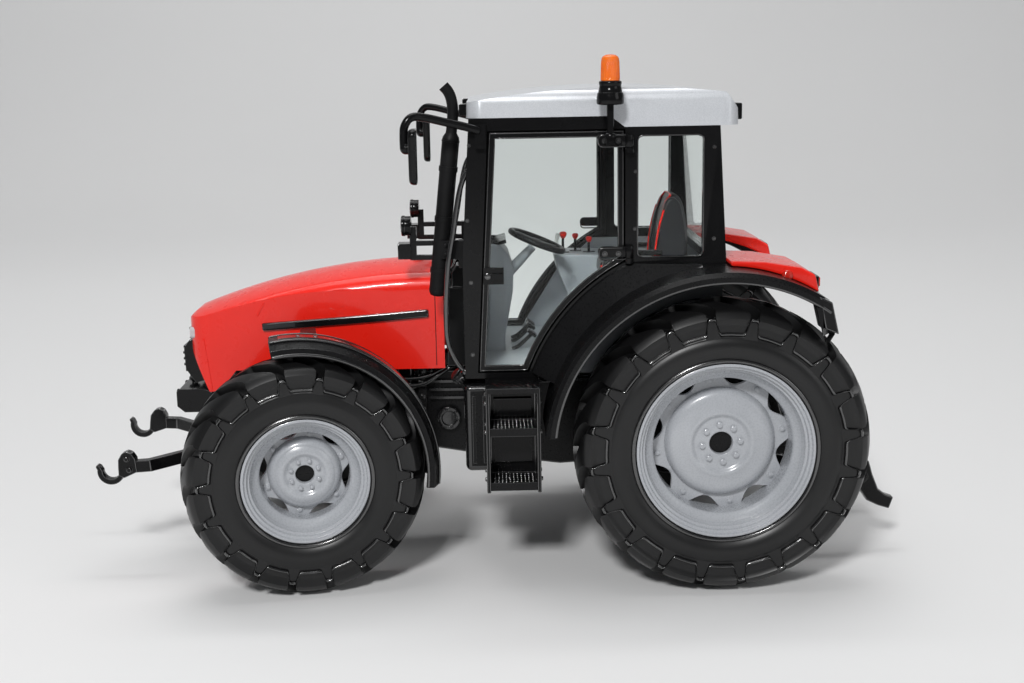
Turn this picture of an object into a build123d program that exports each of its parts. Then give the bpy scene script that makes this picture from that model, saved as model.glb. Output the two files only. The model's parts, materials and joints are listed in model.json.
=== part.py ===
"""A 1:32 scale model of a farm tractor with a cab, in millimetres.

+X points forwards, +Y to the tractor's left and +Z up. The origin is on the ground, under the
middle of the overall box. The front wheels stand turned a little to the left.
"""
from build123d import *
import math
import os

os.makedirs("parts", exist_ok=True)

# ---------------------------------------------------------------- driving sizes
rear_axle_x = -39.5
wheelbase = 75.45
front_axle_x = rear_axle_x + wheelbase
front_tip_x = front_axle_x + 39.85   # foremost point of the front arms' hooks
rear_tip_x = -75.8        # rearmost point of the rear links' feet

# Wheels, each measured from its own axle: tyre radius and width, rim lip radius,
# how far the rim lip stands inside the tyre's outer face.
rear_tyre_r = 26.25
rear_tyre_crown = 1.45    # how far the tread falls from its middle to its shoulders
rear_tyre_w = 13.8
rear_rim_r = 15.6
rear_tyre_out_y = 34.3
front_tyre_r = 21.66
front_tyre_crown = 1.3
front_tyre_w = 12.2
front_rim_r = 11.3
lip_inset = 0.66
rim_wall = 0.7
run_fit = 0.07            # radial clearance of a pin in its bore
axle_r = 2.03             # rear axle shafts
stub_r = 1.78             # front stub axles
seat_gap = 0.02           # between a tyre and the rim that it sits on

steer_rest = 9.5          # degrees, to the left
kingpin_y = 18.2
kingpin_r = 1.0
front_mid_offset = 7.5    # kingpin to the front wheel's middle plane

gap = 0.3                 # between pieces that move past each other

# Bonnet
bonnet_rear_x = 9.6
bonnet_wall = 0.8
bonnet_hinge_x = 10.4     # the bonnet's hinge pin runs across, just under its rear edge
bonnet_hinge_z = 54.7
bonnet_pin_r = 0.5
bonnet_eye_r = 0.85
bonnet_eye_y = 3.0        # inner face of each hinge eye
bonnet_eye_t = 1.2

# Cab
cab_out_y = 22.4          # outer face of the side frames
frame_t = 2.0             # thickness of the side frames
glass_t = 0.6
cab_floor_z = 37.6
cab_top_z = 83.6          # under the roof's front stretch
cab_top_rear_z = 81.7     # under the roof's rear stretch
post_a_top_x = 4.0
post_a_foot_x = 5.6
post_c_top_x = -39.6
post_c_foot_x = -40.9
knee_z = 58.9             # where the front post bends
sill_z = 2 * rear_tyre_r + 6.4       # lower edge of the quarter windows, over the wheel arch
pane_top_z = 80.2
roof_half_w = cab_out_y + 0.2

# Doors: front edge leans, the lower rear corner follows the wheel arch
door_front_top_x = 0.5
door_front_foot_x = 3.0
door_rear_x = -22.8
door_top_z = 81.1
door_foot_z = 38.9
door_t = 1.4
door_rim = 0.9
door_arch_r = rear_tyre_r + 9.95
hinge_x = -23.7
hinge_y = cab_out_y + 0.8

# Fenders
flare_in_r = rear_tyre_r + 4.15
flare_t = 1.0
flare_out_r = flare_in_r + flare_t
flare_out_y = rear_tyre_out_y
flare_in_y = cab_out_y - 2.8
arch_shoulder_r = rear_tyre_r + 9.25  # where the flare meets the cab side below the door
arch_foot_deg = 6.0
arch_tail_deg = 126.0     # the round band ends here, and a flap hangs from it
shoulder_foot_deg = 20.5  # the shoulder starts above the steps



# ---------------------------------------------------------------- shared helpers
def keep(piece, name):
    """Label one finished piece and write its STEP file."""
    piece.part.label = name
    export_step(piece.part, f"parts/{name}.step")


def keep_pair(left, name):
    """Write a left-hand piece and its mirror image on the right."""
    with BuildPart() as right:
        add(left.part.mirror(Plane.XZ))
    keep(left, f"{name}_left")
    keep(right, f"{name}_right")


def keep_both(left, name):
    """Write a left-hand piece and its mirror image as two solids of one node."""
    with BuildPart() as both:
        add(left.part)
        add(left.part.mirror(Plane.XZ))
    keep(both, name)


def side(y):
    """Sketch plane across the tractor at y: its own x is +X, its y is +Z, it extrudes to -Y."""
    return Plane.XZ.offset(-y)


def about_axle(x, z, degrees):
    """Plane through an axle line: its x runs to +Y, its y outwards at this angle from +X."""
    a = math.radians(degrees)
    return Plane(origin=(x, 0, z), x_dir=(0, 1, 0), z_dir=(math.sin(a), 0, -math.cos(a)))


def axle_line(x, z):
    """Axis that turns from +X towards +Z."""
    return Axis((x, 0, z), (0, -1, 0))


def on_circle(x, z, radius, degrees):
    """Point of a circle about an axle, as (x, z)."""
    a = math.radians(degrees)
    return (x + radius * math.cos(a), z + radius * math.sin(a))


def reach_z(radius, x):
    """Height of a circle about the rear axle at x."""
    return rear_tyre_r + math.sqrt(radius ** 2 - (x - rear_axle_x) ** 2)


def reach_x(radius, z):
    """Front x of a circle about the rear axle at height z."""
    return rear_axle_x + math.sqrt(radius ** 2 - (z - rear_tyre_r) ** 2)


def steered(part, y):
    """Turn a piece about the kingpin at y, from straight ahead to the rest angle."""
    return part.rotate(Axis((front_axle_x, y, 0), (0, 0, 1)), steer_rest)


# ---------------------------------------------------------------- wheels
def tyre_profile(mid, half, bead_r, tread_r, crown):
    """Cross-section of a tyre in (y, radius), without its lugs."""
    shoulder_y = 0.81 * half
    shoulder_r = tread_r - crown
    side_r = shoulder_r - 0.26 * half
    belly_r = bead_r + 0.45 * (tread_r - bead_r)
    with BuildSketch() as section:
        with BuildLine():
            Polyline(
                (mid - shoulder_y, shoulder_r), (mid - half, side_r), (mid - half, belly_r),
                (mid - 0.84 * half, bead_r), (mid + 0.84 * half, bead_r), (mid + half, belly_r),
                (mid + half, side_r), (mid + shoulder_y, shoulder_r))
            ThreePointArc((mid + shoulder_y, shoulder_r), (mid, tread_r), (mid - shoulder_y, shoulder_r))
        make_face()
        fillet(section.vertices().group_by(Axis.Y)[1:], 0.9)
    return section.sketch


def rim_profile(lip, width, lip_r, hub_depth, bore_r, hub_r, hub_end):
    """Half-section of a rim, lip outwards at y = lip; its dished disc carries the hub."""
    bed_r = lip_r - 0.9
    well_r = lip_r - 2.6
    inner = lip - width
    disc = lip - hub_depth
    root = disc - 1.9
    w = rim_wall
    with BuildSketch() as section:
        # bead flanges, bead seats and the drop well between them
        Polygon(
            (lip, lip_r), (lip, bed_r - w), (lip - 2.2, bed_r - w), (lip - 3.0, well_r - w),
            (inner + 2.4, well_r - w), (inner + 1.6, bed_r - w), (inner, bed_r - w), (inner, lip_r),
            (inner + w, lip_r), (inner + w, bed_r), (inner + 1.8, bed_r), (inner + 2.6, well_r),
            (lip - 3.2, well_r), (lip - 2.4, bed_r), (lip - w, bed_r), (lip - w, lip_r), align=None)
        # dished disc, from the hub plate out to the well
        Polygon(
            (disc, bore_r), (disc, 0.42 * well_r), (disc - 0.7, 0.66 * well_r),
            (root, 0.84 * well_r), (root, well_r - w / 2), (root - w, well_r - w / 2),
            (root - w, 0.82 * well_r), (disc - 0.7 - w, 0.62 * well_r), (disc - w, 0.40 * well_r),
            (disc - w, bore_r), align=None)
        # hub drum behind the disc
        Polygon(
            (disc - w / 2, bore_r), (disc - w / 2, hub_r), (hub_end, hub_r), (hub_end, bore_r),
            align=None)
    return section.sketch


def wheel_parts(x, z, lip, width, lip_r, bore_r, hub_depth, hub_r, hub_end, windows, tyre_mid,
                tyre_half, tread_r, crown):
    """The rim and the tyre of a left-hand wheel that stands straight ahead."""
    well_r = lip_r - 2.6
    disc = lip - hub_depth
    with BuildPart() as rim:
        with BuildSketch(about_axle(x, z, 0)):
            add(rim_profile(lip, width, lip_r, hub_depth, bore_r, hub_r, hub_end))
        revolve(axis=axle_line(x, z))
        with BuildSketch(side(disc + 0.5)):
            with Locations((x, z)):
                with PolarLocations(0.86 * well_r, windows):
                    SlotOverall(0.62 * math.pi * well_r * 1.5 / windows, 0.14 * well_r, rotation=90)
        extrude(amount=4.2, mode=Mode.SUBTRACT)
    with BuildPart() as tyre:
        with BuildSketch(about_axle(x, z, 0)):
            add(tyre_profile(tyre_mid, tyre_half, lip_r - 0.9 + seat_gap, tread_r, crown))
        revolve(axis=axle_line(x, z))
        # the rim's flanges and well stand in the tyre's inner face
        with BuildSketch(about_axle(x, z, 0)):
            Polygon(
                (lip + 1, 0), (lip + 1, lip_r + seat_gap), (lip - rim_wall - seat_gap, lip_r + seat_gap),
                (lip - rim_wall - seat_gap, lip_r - 0.9), (lip - width + rim_wall + seat_gap, lip_r - 0.9),
                (lip - width + rim_wall + seat_gap, lip_r + seat_gap), (lip - width - 1, lip_r + seat_gap),
                (lip - width - 1, 0), align=None)
        revolve(axis=axle_line(x, z), mode=Mode.SUBTRACT)
    return rim, tyre


rear_lip_y = rear_tyre_out_y - lip_inset
rear_tyre_mid_y = rear_tyre_out_y - rear_tyre_w / 2
rear_hub_depth = 5.9
rear_hub_end_y = rear_tyre_out_y - rear_tyre_w
rear_rim, rear_tyre = wheel_parts(
    x=rear_axle_x, z=rear_tyre_r, lip=rear_lip_y, width=rear_tyre_w - 2 * lip_inset,
    lip_r=rear_rim_r, bore_r=axle_r + run_fit, hub_depth=rear_hub_depth, hub_r=4.2,
    hub_end=rear_hub_end_y, windows=8, tyre_mid=rear_tyre_mid_y, tyre_half=rear_tyre_w / 2,
    tread_r=rear_tyre_r, crown=rear_tyre_crown)
keep_pair(rear_rim, "rear_rim")
keep_pair(rear_tyre, "rear_tyre")

front_mid_y = kingpin_y + front_mid_offset
front_lip_y = front_mid_y + front_tyre_w / 2 - lip_inset
front_hub_depth = 5.1
front_hub_end_y = kingpin_y + 4.4
front_rim, front_tyre = wheel_parts(
    x=front_axle_x, z=front_tyre_r, lip=front_lip_y, width=front_tyre_w - 2 * lip_inset,
    lip_r=front_rim_r, bore_r=stub_r + run_fit, hub_depth=front_hub_depth, hub_r=3.6,
    hub_end=front_hub_end_y, windows=6, tyre_mid=front_mid_y, tyre_half=front_tyre_w / 2,
    tread_r=front_tyre_r, crown=front_tyre_crown)


def keep_steered(left, name):
    """Write both sides of a piece that turns with the steering, at the rest angle."""
    with BuildPart() as on_left:
        add(steered(left.part, kingpin_y))
    with BuildPart() as on_right:
        add(steered(left.part.mirror(Plane.XZ), -kingpin_y))
    keep(on_left, f"{name}_left")
    keep(on_right, f"{name}_right")


keep_steered(front_rim, "front_rim")
keep_steered(front_tyre, "front_tyre")

# ---------------------------------------------------------------- steering knuckles and mudguards
boss_r = 2.4
boss_half_h = 2.8
knuckle_half_w = 2.4
plate_t = 1.2
web_in_y = kingpin_y + boss_r + gap
web_out_y = front_hub_end_y - gap
plate_z = boss_half_h + 0.2
stub_end_y = front_lip_y - front_hub_depth - 0.6

with BuildPart() as knuckle:
    # upper and lower plates round the beam's boss
    for low in (front_tyre_r + plate_z, front_tyre_r - plate_z - plate_t):
        with BuildSketch(Plane.XY.offset(low)):
            with Locations((front_axle_x, kingpin_y)):
                Circle(knuckle_half_w)
            with Locations((front_axle_x, (kingpin_y + web_out_y) / 2)):
                Rectangle(2 * knuckle_half_w, web_out_y - kingpin_y)
        extrude(amount=plate_t)
    with Locations((front_axle_x, (web_in_y + web_out_y) / 2, front_tyre_r)):
        Box(2 * knuckle_half_w, web_out_y - web_in_y, 2 * (plate_z + plate_t))
    with Locations((front_axle_x, kingpin_y, front_tyre_r)):
        Cylinder(kingpin_r, 2 * plate_z)
    with BuildSketch(side(web_out_y)):
        with Locations((front_axle_x, front_tyre_r)):
            Circle(stub_r)
    extrude(amount=-(stub_end_y - web_out_y))
keep_steered(knuckle, "steering_knuckle")

guard_lip_r = front_tyre_r + 0.7
guard_crown_r = front_tyre_r + 3.2
guard_t = 0.8
guard_half_w = 5.2
guard_front_deg = 80.0
guard_rear_deg = 187.5
guard_x = front_axle_x + 0.85        # middle of the guard's arc, a little ahead of the axle
guard_mid_y = kingpin_y + 7.0
stay_y = kingpin_y - 0.6
stay_w = 1.0

with BuildPart() as mudguard:
    with BuildSketch(about_axle(guard_x, front_tyre_r, guard_front_deg)):
        Polygon(
            (guard_mid_y - guard_half_w, guard_lip_r), (guard_mid_y - guard_half_w + 0.2, guard_lip_r + 1.4),
            (guard_mid_y - 2.6, guard_crown_r), (guard_mid_y + 2.6, guard_crown_r),
            (guard_mid_y + guard_half_w - 0.2, guard_lip_r + 1.4), (guard_mid_y + guard_half_w, guard_lip_r),
            (guard_mid_y + guard_half_w - guard_t, guard_lip_r),
            (guard_mid_y + guard_half_w - guard_t - 0.4, guard_lip_r + 1.0),
            (guard_mid_y + 2.3, guard_crown_r - guard_t), (guard_mid_y - 2.3, guard_crown_r - guard_t),
            (guard_mid_y - guard_half_w + guard_t + 0.4, guard_lip_r + 1.0),
            (guard_mid_y - guard_half_w + guard_t, guard_lip_r), align=None)
    revolve(axis=axle_line(guard_x, front_tyre_r), revolution_arc=guard_rear_deg - guard_front_deg)
    # stay: up from the knuckle beside the tyre, then across over it to the guard
    foot_z = front_tyre_r + plate_z + plate_t
    top_z = front_tyre_r + guard_crown_r - 0.1
    with BuildSketch(side(stay_y + stay_w)):
        Polygon(
            (front_axle_x + 1.6, foot_z), (front_axle_x - 1.6, foot_z), (front_axle_x - 3.4, top_z - 1.0),
            (front_axle_x - 3.4, top_z), (front_axle_x - 0.6, top_z), (front_axle_x - 0.6, top_z - 1.0),
            align=None)
    extrude(amount=stay_w)
    with Locations((front_axle_x - 2.0, (stay_y + guard_mid_y - 2.3) / 2, top_z - 0.45)):
        Box(2.8, guard_mid_y - 2.3 - stay_y, 0.9)
keep_steered(mudguard, "front_mudguard")

# ---------------------------------------------------------------- front axle beam
with BuildPart() as beam:
    with Locations((front_axle_x, 0, front_tyre_r)):
        Box(8.0, 9.0, 7.2)
    # arms that taper out to the kingpin bosses
    with BuildSketch(Plane.YZ.offset(front_axle_x - 2.0)):
        Polygon(
            (-kingpin_y, front_tyre_r - 1.6), (-4.0, front_tyre_r - 2.9), (4.0, front_tyre_r - 2.9),
            (kingpin_y, front_tyre_r - 1.6), (kingpin_y, front_tyre_r + 1.6), (4.0, front_tyre_r + 2.9),
            (-4.0, front_tyre_r + 2.9), (-kingpin_y, front_tyre_r + 1.6), align=None)
    extrude(amount=4.0)
    with Locations((front_axle_x, kingpin_y, front_tyre_r), (front_axle_x, -kingpin_y, front_tyre_r)):
        Cylinder(boss_r, 2 * boss_half_h)
    # steering cylinder behind the beam, and its two lugs
    with Locations((front_axle_x - 4.6, 0, front_tyre_r + 0.6)):
        Cylinder(1.1, 17.0, rotation=(90, 0, 0))
    with Locations(*[(front_axle_x - 3.0, lug_y, front_tyre_r + 0.6) for lug_y in (6.0, -6.0)]):
        Box(3.0, 1.2, 1.6)
    with Locations((front_axle_x, kingpin_y, front_tyre_r), (front_axle_x, -kingpin_y, front_tyre_r)):
        Cylinder(kingpin_r + run_fit, 3 * boss_half_h, mode=Mode.SUBTRACT)
keep(beam, "front_axle_beam")

# ---------------------------------------------------------------- front support, tow jaw, linkage bracket
support_half_w = 5.8
beam_top_z = front_tyre_r + 3.6
support_top_z = 31.4
jaw_front_x = front_axle_x + 25.45
arm_pivot_x = front_axle_x + 16.05
arm_pivot_z = 20.6
arm_pin_r = 1.0
arm_in_y = 7.1
arm_t = 1.8
jaw_slot_z = 30.6
tow_pin_r = 0.6

with BuildPart() as support:
    with BuildSketch(side(support_half_w)):
        Polygon(
            (20.0, beam_top_z), (front_axle_x + 8.0, beam_top_z), (arm_pivot_x - 4.5, 24.0),
            (arm_pivot_x + 4.5, 24.0), (arm_pivot_x + 4.5, 28.2), (jaw_front_x - 1.4, 28.2),
            (jaw_front_x, 29.4), (jaw_front_x, 32.2), (jaw_front_x - 0.6, 32.8), (jaw_front_x - 5.4, 32.8),
            (jaw_front_x - 7.9, support_top_z), (20.0, support_top_z), align=None)
    extrude(amount=2 * support_half_w)
    # the jaw's slot for a tow eye, and the pin that crosses it
    with Locations((jaw_front_x - 2.0, 0, jaw_slot_z)):
        Box(5.0, 8.0, 1.4, mode=Mode.SUBTRACT)
    with BuildSketch(Plane.XY.offset(jaw_slot_z - 0.8)):
        with Locations((jaw_front_x - 2.4, 0)):
            Circle(tow_pin_r)
    extrude(amount=3.6)
    with BuildSketch(Plane.XY.offset(jaw_slot_z + 2.8)):
        with Locations((jaw_front_x - 2.4, 0)):
            Circle(1.0)
    extrude(amount=0.6)
    # bracket below, with the pivot pins of the front arms
    with BuildSketch(side(arm_in_y - gap)):
        Polygon(
            (arm_pivot_x - 5.0, 24.4), (arm_pivot_x + 4.0, 24.4), (arm_pivot_x + 3.0, 18.6),
            (arm_pivot_x + 1.6, 17.6), (arm_pivot_x - 3.0, 17.6), (arm_pivot_x - 5.0, 19.6), align=None)
    extrude(amount=2 * (arm_in_y - gap))
    with Locations((arm_pivot_x, 0, arm_pivot_z)):
        Cylinder(arm_pin_r, 2 * (arm_in_y + arm_t + 0.5), rotation=(90, 0, 0))
keep(support, "front_support")

# ---------------------------------------------------------------- front arms with claw hooks
hook_y = 12.4             # middle of the hook, out from the tractor's middle
arm_depth = 2.5
hook_r = 2.75             # outer radius of the claw
mouth_r = 1.25
hook_x = front_tip_x - hook_r
hook_z = arm_pivot_z - 0.7
flare_x = arm_pivot_x + 8.4          # the arm turns outwards here
hook_arm_x = arm_pivot_x + 14.0
arm_rest = {"left": -3.0, "right": 3.0}


def front_arm():
    """The left arm, level: eye, bar that turns outwards, and an upward claw hook with its latch."""
    with BuildPart() as arm:
        # plan of the bar: straight, then out to the hook's plane
        with BuildSketch(Plane.XY.offset(arm_pivot_z - arm_depth / 2)):
            Polygon(
                (arm_pivot_x, arm_in_y), (flare_x, arm_in_y), (hook_arm_x, hook_y - arm_t / 2),
                (hook_x - 2.4, hook_y - arm_t / 2), (hook_x - 2.4, hook_y + arm_t / 2),
                (hook_arm_x - 0.6, hook_y + arm_t / 2), (flare_x - 0.6, arm_in_y + arm_t),
                (arm_pivot_x, arm_in_y + arm_t), align=None)
        extrude(amount=arm_depth)
        with BuildSketch(side(arm_in_y + arm_t)):
            with Locations((arm_pivot_x, arm_pivot_z)):
                Circle(2.1)
        extrude(amount=arm_t)
        with BuildSketch(side(hook_y + arm_t / 2 + 0.2)):
            with Locations((hook_x, hook_z)):
                Circle(hook_r)
            # latch hump behind the mouth
            Polygon(
                (hook_x - 5.0, arm_pivot_z - 0.4), (hook_x - 4.6, hook_z + 3.6), (hook_x - 3.2, hook_z + 4.1),
                (hook_x - 1.9, hook_z + 3.2), (hook_x - 1.0, hook_z + 1.2), (hook_x - 1.6, hook_z - 2.0),
                (hook_x - 5.0, arm_pivot_z - 1.4), align=None)
        extrude(amount=arm_t + 0.4)
        # mouth: round seat, open upwards
        with BuildSketch(side(hook_y + arm_t)):
            with Locations((hook_x, hook_z)):
                Circle(mouth_r)
            Polygon(
                (hook_x - mouth_r, hook_z), (hook_x + mouth_r, hook_z),
                (hook_x + mouth_r + 0.1, hook_z + 4.6), (hook_x - mouth_r + 0.2, hook_z + 4.6), align=None)
        extrude(amount=2 * arm_t, mode=Mode.SUBTRACT)
        with Locations((arm_pivot_x, arm_in_y + arm_t / 2, arm_pivot_z)):
            Cylinder(arm_pin_r + run_fit, 2 * arm_t, rotation=(90, 0, 0), mode=Mode.SUBTRACT)
    return arm


level_arm = front_arm().part
arm_pivot = Axis((arm_pivot_x, 0, arm_pivot_z), (0, -1, 0))
with BuildPart() as arm_left:
    add(level_arm.rotate(arm_pivot, arm_rest["left"]))
keep(arm_left, "front_arm_left")
with BuildPart() as arm_right:
    add(level_arm.mirror(Plane.XZ).rotate(arm_pivot, arm_rest["right"]))
keep(arm_right, "front_arm_right")

# ---------------------------------------------------------------- engine, gearbox, rear axle
engine_front_x = front_axle_x + 14.05
engine_rear_x = 16.0
engine_half_w = 7.2
engine_top_z = 46.0

with BuildPart() as engine:
    with BuildSketch(side(engine_half_w)):
        Polygon(
            (engine_rear_x, support_top_z + 0.02), (engine_front_x, support_top_z + 0.02),
            (engine_front_x, engine_top_z - 3.0), (engine_front_x - 8.0, engine_top_z),
            (engine_rear_x, engine_top_z), align=None)
    extrude(amount=2 * engine_half_w)
keep(engine, "engine_block")

gearbox_half_w = 6.6
with BuildPart() as gearbox:
    with BuildSketch(side(gearbox_half_w)):
        Polygon(
            (-29.0, 17.5), (-12.0, 16.5), (2.0, 18.5), (engine_rear_x, 21.0), (20.0, 22.0),
            (20.0, support_top_z), (engine_rear_x, support_top_z), (engine_rear_x, 36.5), (6.0, 36.5),
            (4.0, 34.0), (-29.0, 34.0), align=None)
    extrude(amount=2 * gearbox_half_w)
    chamfer(gearbox.edges().filter_by(Axis.X), 0.8)
keep(gearbox, "gearbox_housing")

trumpet_r = 4.4
trumpet_end_y = rear_hub_end_y - 0.5
housing_half_w = 8.6
housing_rear_x = -50.5
link_pivot_x = -49.0
link_pivot_z = 18.6
link_pin_r = 1.0
link_in_y = housing_half_w + 1.6
link_t = 1.8
link_pin_end_y = link_in_y + link_t + 0.5
pto_z = 23.0

with BuildPart() as axle:
    with BuildSketch(side(housing_half_w)):
        Polygon(
            (-29.02, 15.5), (-47.0, 15.5), (housing_rear_x, 18.0), (housing_rear_x, 34.0), (-47.0, 37.0),
            (-29.02, 37.0), align=None)
    extrude(amount=2 * housing_half_w)
    with Locations((rear_axle_x, 0, rear_tyre_r)):
        Cylinder(trumpet_r, 2 * trumpet_end_y, rotation=(90, 0, 0))
        Cylinder(axle_r, 2 * (rear_lip_y - rear_hub_depth - 0.5), rotation=(90, 0, 0))
    # lower link pins, in bosses on the housing's sides
    with Locations((link_pivot_x, 0, link_pivot_z)):
        Cylinder(1.9, 2 * (link_in_y - gap), rotation=(90, 0, 0))
        Cylinder(link_pin_r, 2 * link_pin_end_y, rotation=(90, 0, 0))
    # drive shaft stub for implements, in its guard ring
    with BuildSketch(Plane.YZ.offset(housing_rear_x)):
        with Locations((0, pto_z)):
            Circle(1.2)
    extrude(amount=-4.0)
    with BuildSketch(Plane.YZ.offset(housing_rear_x)):
        with Locations((0, pto_z)):
            Circle(2.6)
    extrude(amount=-1.0)
keep(axle, "rear_axle_housing")

# ---------------------------------------------------------------- rear linkage
with BuildPart() as drawbar:
    with BuildSketch(side(2.2)):
        Polygon(
            (-44.0, 13.2), (-60.0, 13.2), (-63.0, 13.8), (-63.0, 15.2), (-56.0, 15.48), (-44.0, 15.48),
            align=None)
    extrude(amount=4.4)
    # clevis: two plates with a pin hole
    with BuildSketch(side(2.2)):
        Polygon(
            (-58.0, 16.7), (-63.0, 16.7), (-63.0, 17.7), (-55.0, 17.7), (-55.0, 15.4), (-58.0, 15.4),
            align=None)
    extrude(amount=4.4)
    with Locations((-61.0, 0, 15.4)):
        Cylinder(0.8, 6.0, mode=Mode.SUBTRACT)
keep(drawbar, "drawbar")

with BuildPart() as top_link:
    with BuildSketch(side(2.6)):
        Polygon((-50.52, 29.0), (-55.0, 29.6), (-55.0, 32.6), (-50.52, 34.0), align=None)
    extrude(amount=5.2)
    with Locations((-53.6, 0, 31.2)):
        Box(3.2, 2.6, 6.0, mode=Mode.SUBTRACT)
    with Locations((-53.4, 0, 31.1)):
        Cylinder(0.7, 5.2, rotation=(90, 0, 0))
    # the link hangs from its pin, down the back of the housing
    with BuildSketch(side(0.9)):
        with Locations((-53.4, 31.1)):
            Circle(1.5)
        Polygon((-54.2, 31.0), (-57.0, 21.4), (-55.4, 21.0), (-52.6, 30.6), align=None)
        with Locations((-56.2, 20.6)):
            Circle(1.5)
    extrude(amount=1.8)
    with Locations((-56.2, 0, 20.6)):
        Cylinder(0.6, 4.0, rotation=(90, 0, 0), mode=Mode.SUBTRACT)
keep(top_link, "top_link")

with BuildPart() as link:
    with BuildSketch(side(link_in_y + link_t)):
        Polygon(
            (link_pivot_x, link_pivot_z + 1.2), (-68.6, 16.0), (-69.4, 17.6), (-70.8, 17.3), (-71.6, 14.6),
            (-72.8, 11.6), (-74.2, 10.5), (rear_tip_x, 9.9), (rear_tip_x + 0.8, 7.6), (-72.8, 8.3),
            (-70.6, 9.4), (-69.3, 11.4), (-67.8, 13.2), (link_pivot_x, link_pivot_z - 1.3), align=None)
        with Locations((link_pivot_x, link_pivot_z)):
            Circle(2.1)
    extrude(amount=link_t)
    with Locations((link_pivot_x, link_in_y + link_t / 2, link_pivot_z)):
        Cylinder(link_pin_r + run_fit, 2 * link_t, rotation=(90, 0, 0), mode=Mode.SUBTRACT)
keep_pair(link, "rear_link")

# ---------------------------------------------------------------- bonnet
bonnet_crest_x = 12.0     # highest point of the top, which is an arc in side view
bonnet_crest_z = 56.6
bonnet_crown = 2.4        # how far the top falls from its middle to its shoulders
bonnet_edge_r = 3.4
bonnet_foot_z = 37.0
bonnet_chin_z = 32.6
nose_x = front_axle_x + 22.5
brow_x = nose_x - 2.9     # where the top turns down into the nose
# a longer bonnet has a flatter arc, so its brow stays as high
bonnet_top_r = 122.0 * ((brow_x - bonnet_crest_x) / 43.55) ** 2
bonnet_half_w = 10.8
bonnet_nose_half_w = 8.3
bonnet_taper_x = nose_x - 8.4        # the sides draw in ahead of here
top_centre_z = bonnet_crest_z - bonnet_top_r


def bonnet_solid(inset, open_foot=0.0, open_rear=0.0):
    """The bonnet's outer form; with an inset and open ends, the smaller form that hollows it."""
    rear_x = bonnet_rear_x - open_rear
    foot_z = bonnet_foot_z - open_foot
    chin_z = bonnet_chin_z - open_foot
    half = bonnet_half_w - inset
    top_r = bonnet_top_r - inset
    front_x = nose_x - inset
    front_deg = math.degrees(math.acos((nose_x + 2.0 - bonnet_crest_x) / bonnet_top_r))
    brow_z = top_centre_z + math.sqrt(top_r ** 2 - (brow_x - bonnet_crest_x) ** 2)
    with BuildPart() as form:
        # arched cross-section with round shoulders, turned about the centre of the top's arc
        with BuildSketch(about_axle(bonnet_crest_x, top_centre_z, front_deg)):
            with BuildLine():
                Polyline(
                    (half, top_r - bonnet_crown), (half, top_r - 42.0), (-half, top_r - 42.0),
                    (-half, top_r - bonnet_crown))
                ThreePointArc((-half, top_r - bonnet_crown), (0, top_r), (half, top_r - bonnet_crown))
            arch = make_face()
            fillet(arch.vertices().group_by(Axis.Y)[-1], bonnet_edge_r - inset)
        revolve(axis=axle_line(bonnet_crest_x, top_centre_z), revolution_arc=94.0 - front_deg)
        # side view: rounded nose, chin below the grille
        with BuildSketch(side(half + 1)):
            with BuildLine():
                Polyline((brow_x, brow_z), (brow_x, 70.0), (rear_x, 70.0), (rear_x, foot_z))
                brow = TangentArc(
                    (brow_x, brow_z), (front_x - 0.2, brow_z - 3.0),
                    tangent=(brow_z - top_centre_z, bonnet_crest_x - brow_x))
                nose = TangentArc(brow @ 1, (front_x - 1.6, chin_z + 3.0), tangent=brow % 1)
                Polyline(nose @ 1, (front_x - 2.8, chin_z), (nose_x - 6.0, chin_z + 0.4),
                         (nose_x - 9.4, foot_z), (rear_x, foot_z))
            make_face()
        extrude(amount=2 * (half + 1), mode=Mode.INTERSECT)
        # plan view: sides drawn in to a round nose
        with BuildSketch(Plane.XY.offset(20.0)):
            with BuildLine():
                Polyline((rear_x - 1, 0), (rear_x - 1, -half - 0.3), (28.0, 0.2 - half),
                         (bonnet_taper_x, inset - bonnet_nose_half_w - 0.7),
                         (front_x - 4.4, inset - bonnet_nose_half_w))
                corner = TangentArc(
                    (front_x - 4.4, inset - bonnet_nose_half_w),
                    (front_x - 0.5, inset - bonnet_nose_half_w + 3.7), tangent=(4.0, 0.7))
                TangentArc(corner @ 1, (front_x + 0.1, 0), tangent=corner % 1)
                mirror(about=Plane.XZ)
            make_face()
        extrude(amount=50.0, mode=Mode.INTERSECT)
    return form.part


bonnet_form = bonnet_solid(0)
with BuildPart() as bonnet:
    add(bonnet_form)
    add(bonnet_solid(bonnet_wall, open_foot=6.0, open_rear=1.0), mode=Mode.SUBTRACT)
    # hinge eyes under the skin
    for y in (bonnet_eye_y + bonnet_eye_t, -bonnet_eye_y):
        with BuildSketch(side(y)):
            with Locations((bonnet_hinge_x, bonnet_hinge_z)):
                Circle(bonnet_eye_r)
                Rectangle(
                    2 * bonnet_eye_r, bonnet_crest_z - bonnet_wall / 2 - bonnet_hinge_z,
                    align=(Align.CENTER, Align.MIN))
        extrude(amount=bonnet_eye_t)
    with Locations((bonnet_hinge_x, 0, bonnet_hinge_z)):
        Cylinder(
            bonnet_pin_r + run_fit, 2 * (bonnet_eye_y + bonnet_eye_t + 0.2), rotation=(90, 0, 0),
            mode=Mode.SUBTRACT)
keep(bonnet, "bonnet")

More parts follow.
